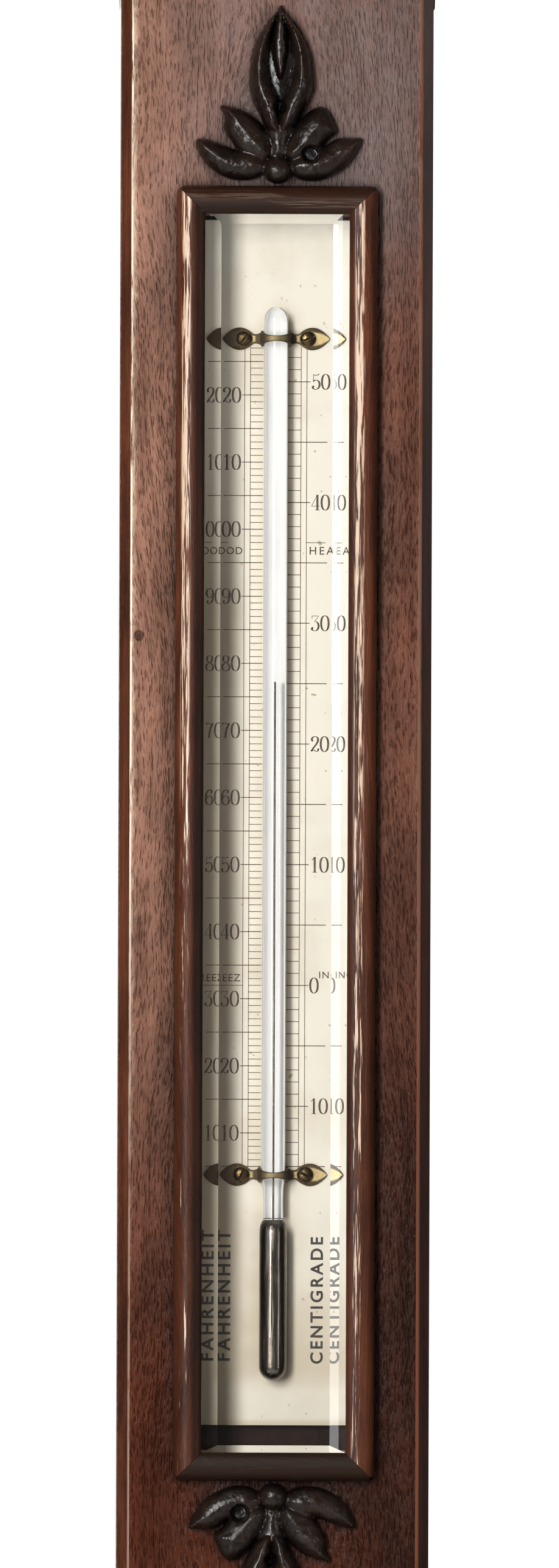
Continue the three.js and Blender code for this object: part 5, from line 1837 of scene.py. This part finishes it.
class BAROMETER_OT_scale(bpy.types.Operator):
    """Ivory scale plate with its lines, numbers and words"""

    bl_idname = "barometer.scale"
    bl_label = "Scale"

    def execute(self, context):
        dress("scale_plate", "ivory_plate", 0.15)
        for build in (scale_lines, scale_numbers, scale_words):
            new_piece(build.__name__, merge(build(PLATE_FRONT)), "ink")
        return {"FINISHED"}


# Dial, bezel and hands

# How far the hand turns for an inch of mercury, and the reading at the top of the dial
DIAL_TURN_PER_INCH = math.radians(100)
MIDDLE_READING = 29.5
RING_STEPS = 160


def dial_angle(reading):
    """Angle from the right, anticlockwise, of a reading on the dial."""
    return QUARTER - (reading - MIDDLE_READING) * DIAL_TURN_PER_INCH


def around_dial(angle, radius):
    """A point at an angle and a distance from the middle of the dial."""
    return (radius * math.cos(angle), DIAL_MIDDLE + radius * math.sin(angle))


def circle_band(radius, width, surface_z):
    """A filled circle line on the dial."""
    back = surface_z + INK_GAP
    front = back + sizes().ink_height
    inner, outer = radius - width / 2, radius + width / 2
    profile = [(inner, back), (outer, back), (outer, front), (inner, front)]
    return lathe(profile, RING_STEPS, (0.0, DIAL_MIDDLE))


# Marks of the dial: how many, inches from one to the next, and the radii where they start and end
MARKS, MARK_STEP = 151, 0.02
MARK_START, LONG_MARK_START = 66.4, 60.5
MARK_END, LONG_MARK_END = 70.0, 74.0
# Radii of the dial's circles
DIAL_CIRCLES = (64.0, MARK_START, LONG_MARK_END)
# Size and radius of the numbers of inches and tenths, and of the words
INCH_NUMBERS = (9.0, 54.0)
TENTH_NUMBERS = (2.8, 77.0)
WORD_SIZE, WORD_RADIUS = 4.4, 39.5
DIAL_WORDS = (("STORMY", 28.2), ("RAIN", 28.86), ("CHANGE", 29.5), ("FAIR", 30.14), ("VERY DRY", 30.8))
LOWEST_READING = 28


def dial_lines(front):
    """Circles of the dial, and its marks for each fiftieth of an inch."""
    lines = [circle_band(radius, 0.3, front) for radius in DIAL_CIRCLES]
    for step in range(MARKS):
        angle = dial_angle(LOWEST_READING + step * MARK_STEP)
        reach, width = (LONG_MARK_END, 0.4) if step % 5 == 0 else (MARK_END, 0.22)
        start = LONG_MARK_START if step % 25 == 0 else MARK_START
        lines.append(bar(around_dial(angle, start), around_dial(angle, reach), width, front))
    return lines


def dial_numbers(front):
    """The inches on the dial and their tenths, which stand upright to the middle."""
    marks = []
    for step in range(31):
        angle = dial_angle(LOWEST_READING + step / 10)
        whole = step % 10 == 0
        text = str(LOWEST_READING + step // 10) if whole else str(step % 10)
        size, radius = INCH_NUMBERS if whole else TENTH_NUMBERS
        shape, width = number_parts(text, front)
        x, y = around_dial(angle, radius)
        marks.append(placed_shape(shape, size, x, y, angle - QUARTER, (width / 2, 0.5)))
    return marks


def dial_words(front):
    """The five words of the weather."""
    words = []
    for text, reading in DIAL_WORDS:
        words += arched_word(text, dial_angle(reading), WORD_RADIUS, WORD_SIZE, front)
    return words


def arched_word(text, angle, radius, size, surface_z):
    """A word on an arc round the dial, letter by letter."""
    pitch = size * 1.12 / radius
    parts = []
    for i, letter in enumerate(text):
        if letter == " ":
            continue
        shape, width = word_parts(letter, surface_z, bold=0.0)
        turn = angle + pitch * ((len(text) - 1) / 2 - i)
        x, y = around_dial(turn, radius)
        parts.append(placed_shape(shape, size, x, y, turn - QUARTER, (width / 2, 0.5)))
    return parts


def make_turned(name, profile, look, node, smooth):
    """A ring turned round the middle of the dial."""
    ring = lathe(profile, RING_STEPS, (0.0, DIAL_MIDDLE))
    new_piece(name, ring, look, replaces=(node,), smooth=smooth)


def make_dial_ring():
    """The turned oak ring round the dial, with a fillet, an ogee and a step for the glass."""
    low, high = front_box("dial_ring")
    outer, inner, foot = high.x, high.x - RING_WIDTH, low.z
    seat, step = outer - 11, foot + 9
    profile = [(inner, foot), (outer, foot), (outer, foot + 4.2)]
    profile += arc(outer - 0.9, foot + 5.1, 0.9, -QUARTER + 0.6, 0.9, 6)
    profile += [(outer - 1.6, foot + 6.2), (outer - 1.6, foot + 7.2)]
    profile += bend([(outer - 1.2, foot + 7.6), (outer + 0.6, foot + 12.5), (outer - 1.0, foot + 15.6)], 10)
    profile += arc(outer - 4.5, high.z - 3.5, 3.5, 0.4, QUARTER, 10)
    profile += [(seat + 1.2, high.z), (seat + 0.6, high.z - 0.6), (seat, high.z - 0.6)]
    profile += [(seat, step), (inner, step)]
    make_turned("turned_dial_ring", profile, "turned_oak", "dial_ring", 28)


def make_bezel():
    """The brass ring that holds the glass, with a bead at its foot and a hollow face."""
    low, high = front_box("bezel")
    cover = high.x
    outer, bore = cover - 6.2, cover - 8.5
    lip = bore - 5
    foot = front_box("dial_ring")[1].z + 0.1
    glass = front_box("dial_glass")[1].z + 0.1
    profile = [(bore, low.z), (outer, low.z), (outer, foot), (cover - 0.3, foot), (cover, foot + 0.3)]
    profile += [(cover, foot + 1.2), (cover - 0.7, foot + 1.5), (cover - 0.7, foot + 1.9)]
    profile += bend([(cover - 0.9, foot + 2.1), (cover - 2.2, high.z + 0.2), (cover - 5.5, high.z)], 12)
    profile += bend([(cover - 6.2, high.z - 0.1), (lip + 2.6, high.z - 0.4), (lip + 1.2, glass + 1.2)], 10)
    profile += [(lip + 0.9, glass + 0.8), (lip, glass + 0.6), (lip, glass), (bore, glass)]
    make_turned("brass_bezel", profile, "polished_brass", "bezel", 28)


def make_sight_ring():
    """A sloping brass ring between dial and glass."""
    low, high = front_box("sight_ring")
    outer = high.x
    inner = outer - 5
    profile = [(inner, low.z), (outer, low.z), (outer, high.z), (outer - 1, high.z)]
    profile += bend([(outer - 1.2, high.z - 0.3), (outer - 2.2, low.z + 2.4), (inner + 0.4, low.z + 1.2)], 8)
    profile += [(inner, low.z + 0.9)]
    make_turned("brass_sight_ring", profile, "polished_brass", "sight_ring", 28)


def make_dial_glass():
    """A round glass with a bevelled edge and a hole for the spindle of the knob."""
    low, high = front_box("dial_glass")
    outer, hole = high.x, 2.6
    profile = [(hole, low.z), (outer, low.z), (outer, low.z + 1.4), (outer - 8, high.z), (hole, high.z)]
    make_turned("bevelled_dial_glass", profile, "clear_glass", "dial_glass", 10)


def make_knob():
    """A fluted knob on the spindle of the set hand."""
    low, high = front_box("set_knob")
    radius = (high.x - low.x) / 2
    foot = high.z - 6
    spindle, pin = 2.3, 0.8
    flutes, flute_depth = 24, 0.05
    shoulder = front_box("set_hand")[1].z + 0.1
    profile = [(0.0, low.z), (pin, low.z), (pin, shoulder), (spindle, shoulder), (spindle, foot)]
    side = [(0.8, 0), (0.84, 0.3), (0.8, 1.0), (0.94, 1.6), (1, 1.9), (1, 4.4), (0.95, 4.9)]
    profile += [(radius * share, foot + rise) for share, rise in side]
    crown = [(0.84, 5.2), (0.6, 6.0), (0.3, 5.7), (0, 5.7)]
    profile += bend([(radius * share, foot + rise) for share, rise in crown], 10)
    profile[-1] = (0.0, profile[-1][1])
    vertices, faces = lathe(profile, 96)
    fluted = []
    for x, y, z in vertices:
        depth = flute_depth if foot + 1.7 < z < foot + 4.7 else 0.0
        cut = 1 - depth * (1 + math.cos(flutes * math.atan2(y, x))) / 2
        fluted.append((x * cut, y * cut + DIAL_MIDDLE, z))
    knob = (fluted, faces)
    new_piece("brass_set_knob", knob, "polished_brass", "set_hand", ("set_knob",), 32)


def make_drop():
    """The turned drop under the apron: a ball, a neck with a bead, and a cap."""
    low, high = front_box("drop_finial")
    radius = (high.x - low.x) / 2
    top = high.y
    profile = [(0.0, low.y), (radius * 0.16, low.y + 0.1)]
    profile += arc(0, low.y + radius, radius, -QUARTER + 0.3, 0.95, 20)
    profile += bend([(radius * 0.5, top - 7.4), (radius * 0.38, top - 6.4), (radius * 0.5, top - 5.2)], 6)
    profile += arc(radius * 0.72, top - 3.9, radius * 0.2, -QUARTER, QUARTER, 8)
    profile += [(radius * 0.6, top - 2.2), (radius * 0.56, top - 1.2), (radius * 0.64, top), (0.0, top)]
    drop = lathe(profile, 72, (0.0, (low.z + high.z) / 2), upright=True)
    new_piece("turned_drop", drop, "turned_oak", replaces=("drop_finial",), smooth=32)


class BAROMETER_OT_dial(bpy.types.Operator):
    """Dial with its marks, glass, bezel, sight ring, hands and knob"""

    bl_idname = "barometer.dial"
    bl_label = "Dial"

    def execute(self, context):
        dress("dial", "dial_white")
        for build in (dial_lines, dial_numbers, dial_words):
            new_piece(build.__name__, merge(build(DIAL_HIGH.z)), "ink")
        make_dial_ring()
        make_sight_ring()
        make_dial_glass()
        make_bezel()
        make_knob()
        dress("hand", "blued_steel", 0.15)
        dress("set_hand", "polished_brass", 0.15)
        return {"FINISHED"}


# Names of the nodes that take each finish
INNER_LOOKS = {
    "polished_brass": "base_plate capsule spring_bracket arbor_bridge",
    "dull_brass": "movement_can",
    "aged_brass": "hanging_plate",
    "bare_steel": "can_screw_1 can_screw_2 can_screw_3 hanging_screw_1 hanging_screw_2 adjusting_screw "
    "capsule_stud main_arm rocking_shaft chain arbor",
    "blued_steel": "main_spring hairspring",
}


class BAROMETER_OT_movement(bpy.types.Operator):
    """Movement, its can, the hanging plate and the turned drop"""

    bl_idname = "barometer.movement"
    bl_label = "Movement and fittings"

    def execute(self, context):
        for look, nodes in INNER_LOOKS.items():
            for node in nodes.split():
                dress(node, look, 0.12)
        make_drop()
        return {"FINISHED"}


# Stage

# Lamps: name, offset from the shaft and size in metres, and power in watts
LAMPS = (
    ("window lamp", (-0.44, -1.0, 0.1), (0.2, 0.7), 12.5),
    ("sheen lamp", (-0.1, -0.5, 0.05), (0.08, 0.16), 0.3),
    ("bevel lamp", (0.76, -0.65, -0.06), (0.16, 0.55), 1.2),
    ("back lamp", (0.9, 1.2, 0.6), (0.8, 0.8), 12.0),
)
# What polish and glass mirror of the room before the barometer, and what lights it from all round
ROOM = (0.06, 0.06, 0.06, 1)
AMBIENT = (0.09, 0.086, 0.082, 1)


class BAROMETER_OT_stage(bpy.types.Operator):
    """Camera, lamps, pale world and floor"""

    bl_idname = "barometer.stage"
    bl_label = "Stage"

    distance: length_setting("Distance", "Distance of the camera in millimetres", 4000.0)
    height_shown: length_setting("Height shown", "Height of the view at the front of the case", 341.6)
    azimuth: angle_setting("Azimuth", "Turn of the camera", -0.0175)
    elevation: angle_setting("Elevation", "Rise of the camera", 0.0)
    roll: angle_setting("Roll", "Lean of the camera", 0.0035)

    def execute(self, context):
        self.make_camera(context)
        self.make_world(context)
        self.make_floor()
        for lamp in LAMPS:
            make_lamp(*lamp)
        context.scene.view_settings.view_transform = "Standard"
        return {"FINISHED"}

    def make_camera(self, context):
        target = row(0.9, 10.75, CASE_HIGH.z)
        level = math.cos(self.elevation)
        across = (math.sin(self.azimuth) * level, -math.cos(self.azimuth) * level)
        back = Vector((*across, math.sin(self.elevation)))
        data = bpy.data.cameras.new("camera")
        data.sensor_width = 36.0
        data.lens = data.sensor_width * self.distance / self.height_shown
        data.clip_start = 0.1
        data.clip_end = 50.0
        camera = bpy.data.objects.new("camera", data)
        camera.location = target + back * self.distance * MM
        turn = (-back).to_track_quat("-Z", "Y").to_matrix() @ Matrix.Rotation(self.roll, 3, "Z")
        camera.rotation_mode = "QUATERNION"
        camera.rotation_quaternion = turn.to_quaternion()
        context.scene.collection.objects.link(camera)
        context.scene.camera = camera

    def make_world(self, context):
        """White for the camera and behind the barometer; a dimmer room in front of it."""
        world = bpy.data.worlds.new("studio")
        world.use_nodes = True
        tree = world.node_tree
        tree.nodes.clear()
        path = add(tree, "ShaderNodeLightPath", {}).outputs
        depth = wire(tree, "ShaderNodeTexCoord", output="Generated").part("Y")
        room = mix(depth.fade(0.72, 0.95), ROOM, WHITE)
        mirrored = largest(Wire(tree, path["Is Glossy Ray"]), Wire(tree, path["Is Transmission Ray"]))
        indirect = mix(mirrored, AMBIENT, room)
        shown = mix(Wire(tree, path["Is Camera Ray"]), indirect, WHITE)
        light = wire(tree, "ShaderNodeBackground", {"Color": shown})
        add(tree, "ShaderNodeOutputWorld", {"Surface": light})
        context.scene.world = world

    def make_floor(self):
        """A round pale floor just under the drop, whose edge melts into the white."""
        radius = 1.15
        low = cad_bounds[0]
        tree, place = new_material("pale_floor")
        away = wire(tree, "ShaderNodeVectorMath", {0: place}, "Value", operation="LENGTH")
        seen = wire(tree, "ShaderNodeLightPath", output="Is Camera Ray")
        values = {
            "Base Color": colours().floor,
            "Roughness": 0.85,
            "Emission Color": WHITE,
            "Emission Strength": seen * 0.55,
        }
        mixed_surface(tree, away.fade(radius * 350, radius * 950), values, {})
        mesh = bpy.data.meshes.new("floor")
        outline = [(x, y, 0) for x, y in arc(0, 0, radius, 0, 2 * math.pi, 64)[:-1]]
        mesh.from_pydata(outline, [], [tuple(range(64))])
        mesh.materials.append(finish_of("pale_floor"))
        floor = bpy.data.objects.new("floor", mesh)
        floor.location = (0, low.y / 2, low.z - 2 * MM)
        bpy.context.scene.collection.objects.link(floor)


def make_lamp(name, offset, size, power):
    """A soft lamp that points at the shaft."""
    data = bpy.data.lights.new(name, "AREA")
    data.shape = "RECTANGLE"
    data.size, data.size_y = size
    data.energy = power
    lamp = bpy.data.objects.new(name, data)
    lamp.location = row(0, 60, 22) + Vector(offset)
    lamp.rotation_mode = "QUATERNION"
    lamp.rotation_quaternion = (-Vector(offset)).to_track_quat("-Z", "Y")
    lamp.visible_camera = False
    bpy.context.scene.collection.objects.link(lamp)


class BAROMETER_OT_finishes(bpy.types.Operator):
    """Woods, metals, glass and grounds"""

    bl_idname = "barometer.finishes"
    bl_label = "Finishes"

    def execute(self, context):
        make_materials()
        return {"FINISHED"}


class BAROMETER_PT_panel(bpy.types.Panel):
    """The barometer's pieces and settings"""

    bl_idname = "BAROMETER_PT_panel"
    bl_label = "Barometer"
    bl_space_type = "VIEW_3D"
    bl_region_type = "UI"
    bl_category = "Barometer"

    def draw(self, context):
        for name in STEPS:
            self.layout.operator(f"barometer.{name}")
        for group in (context.scene.barometer_sizes, context.scene.barometer_colours):
            for name in group.__annotations__:
                self.layout.prop(group, name)


STEPS = ("finishes", "case", "box", "carving", "thermometer", "scale", "dial", "movement", "stage")
CLASSES = (
    BarometerSizes,
    BarometerColours,
    BAROMETER_OT_finishes,
    BAROMETER_OT_case,
    BAROMETER_OT_box,
    BAROMETER_OT_carving,
    BAROMETER_OT_thermometer,
    BAROMETER_OT_scale,
    BAROMETER_OT_dial,
    BAROMETER_OT_movement,
    BAROMETER_OT_stage,
    BAROMETER_PT_panel,
)


def register():
    for each in CLASSES:
        bpy.utils.register_class(each)
    bpy.types.Scene.barometer_sizes = PointerProperty(type=BarometerSizes)
    bpy.types.Scene.barometer_colours = PointerProperty(type=BarometerColours)


def unregister():
    del bpy.types.Scene.barometer_colours
    del bpy.types.Scene.barometer_sizes
    for each in reversed(CLASSES):
        bpy.utils.unregister_class(each)


def main():
    register()
    for name in STEPS:
        getattr(bpy.ops.barometer, name)()
    bpy.context.view_layer.update()


if __name__ == "__main__":
    main()
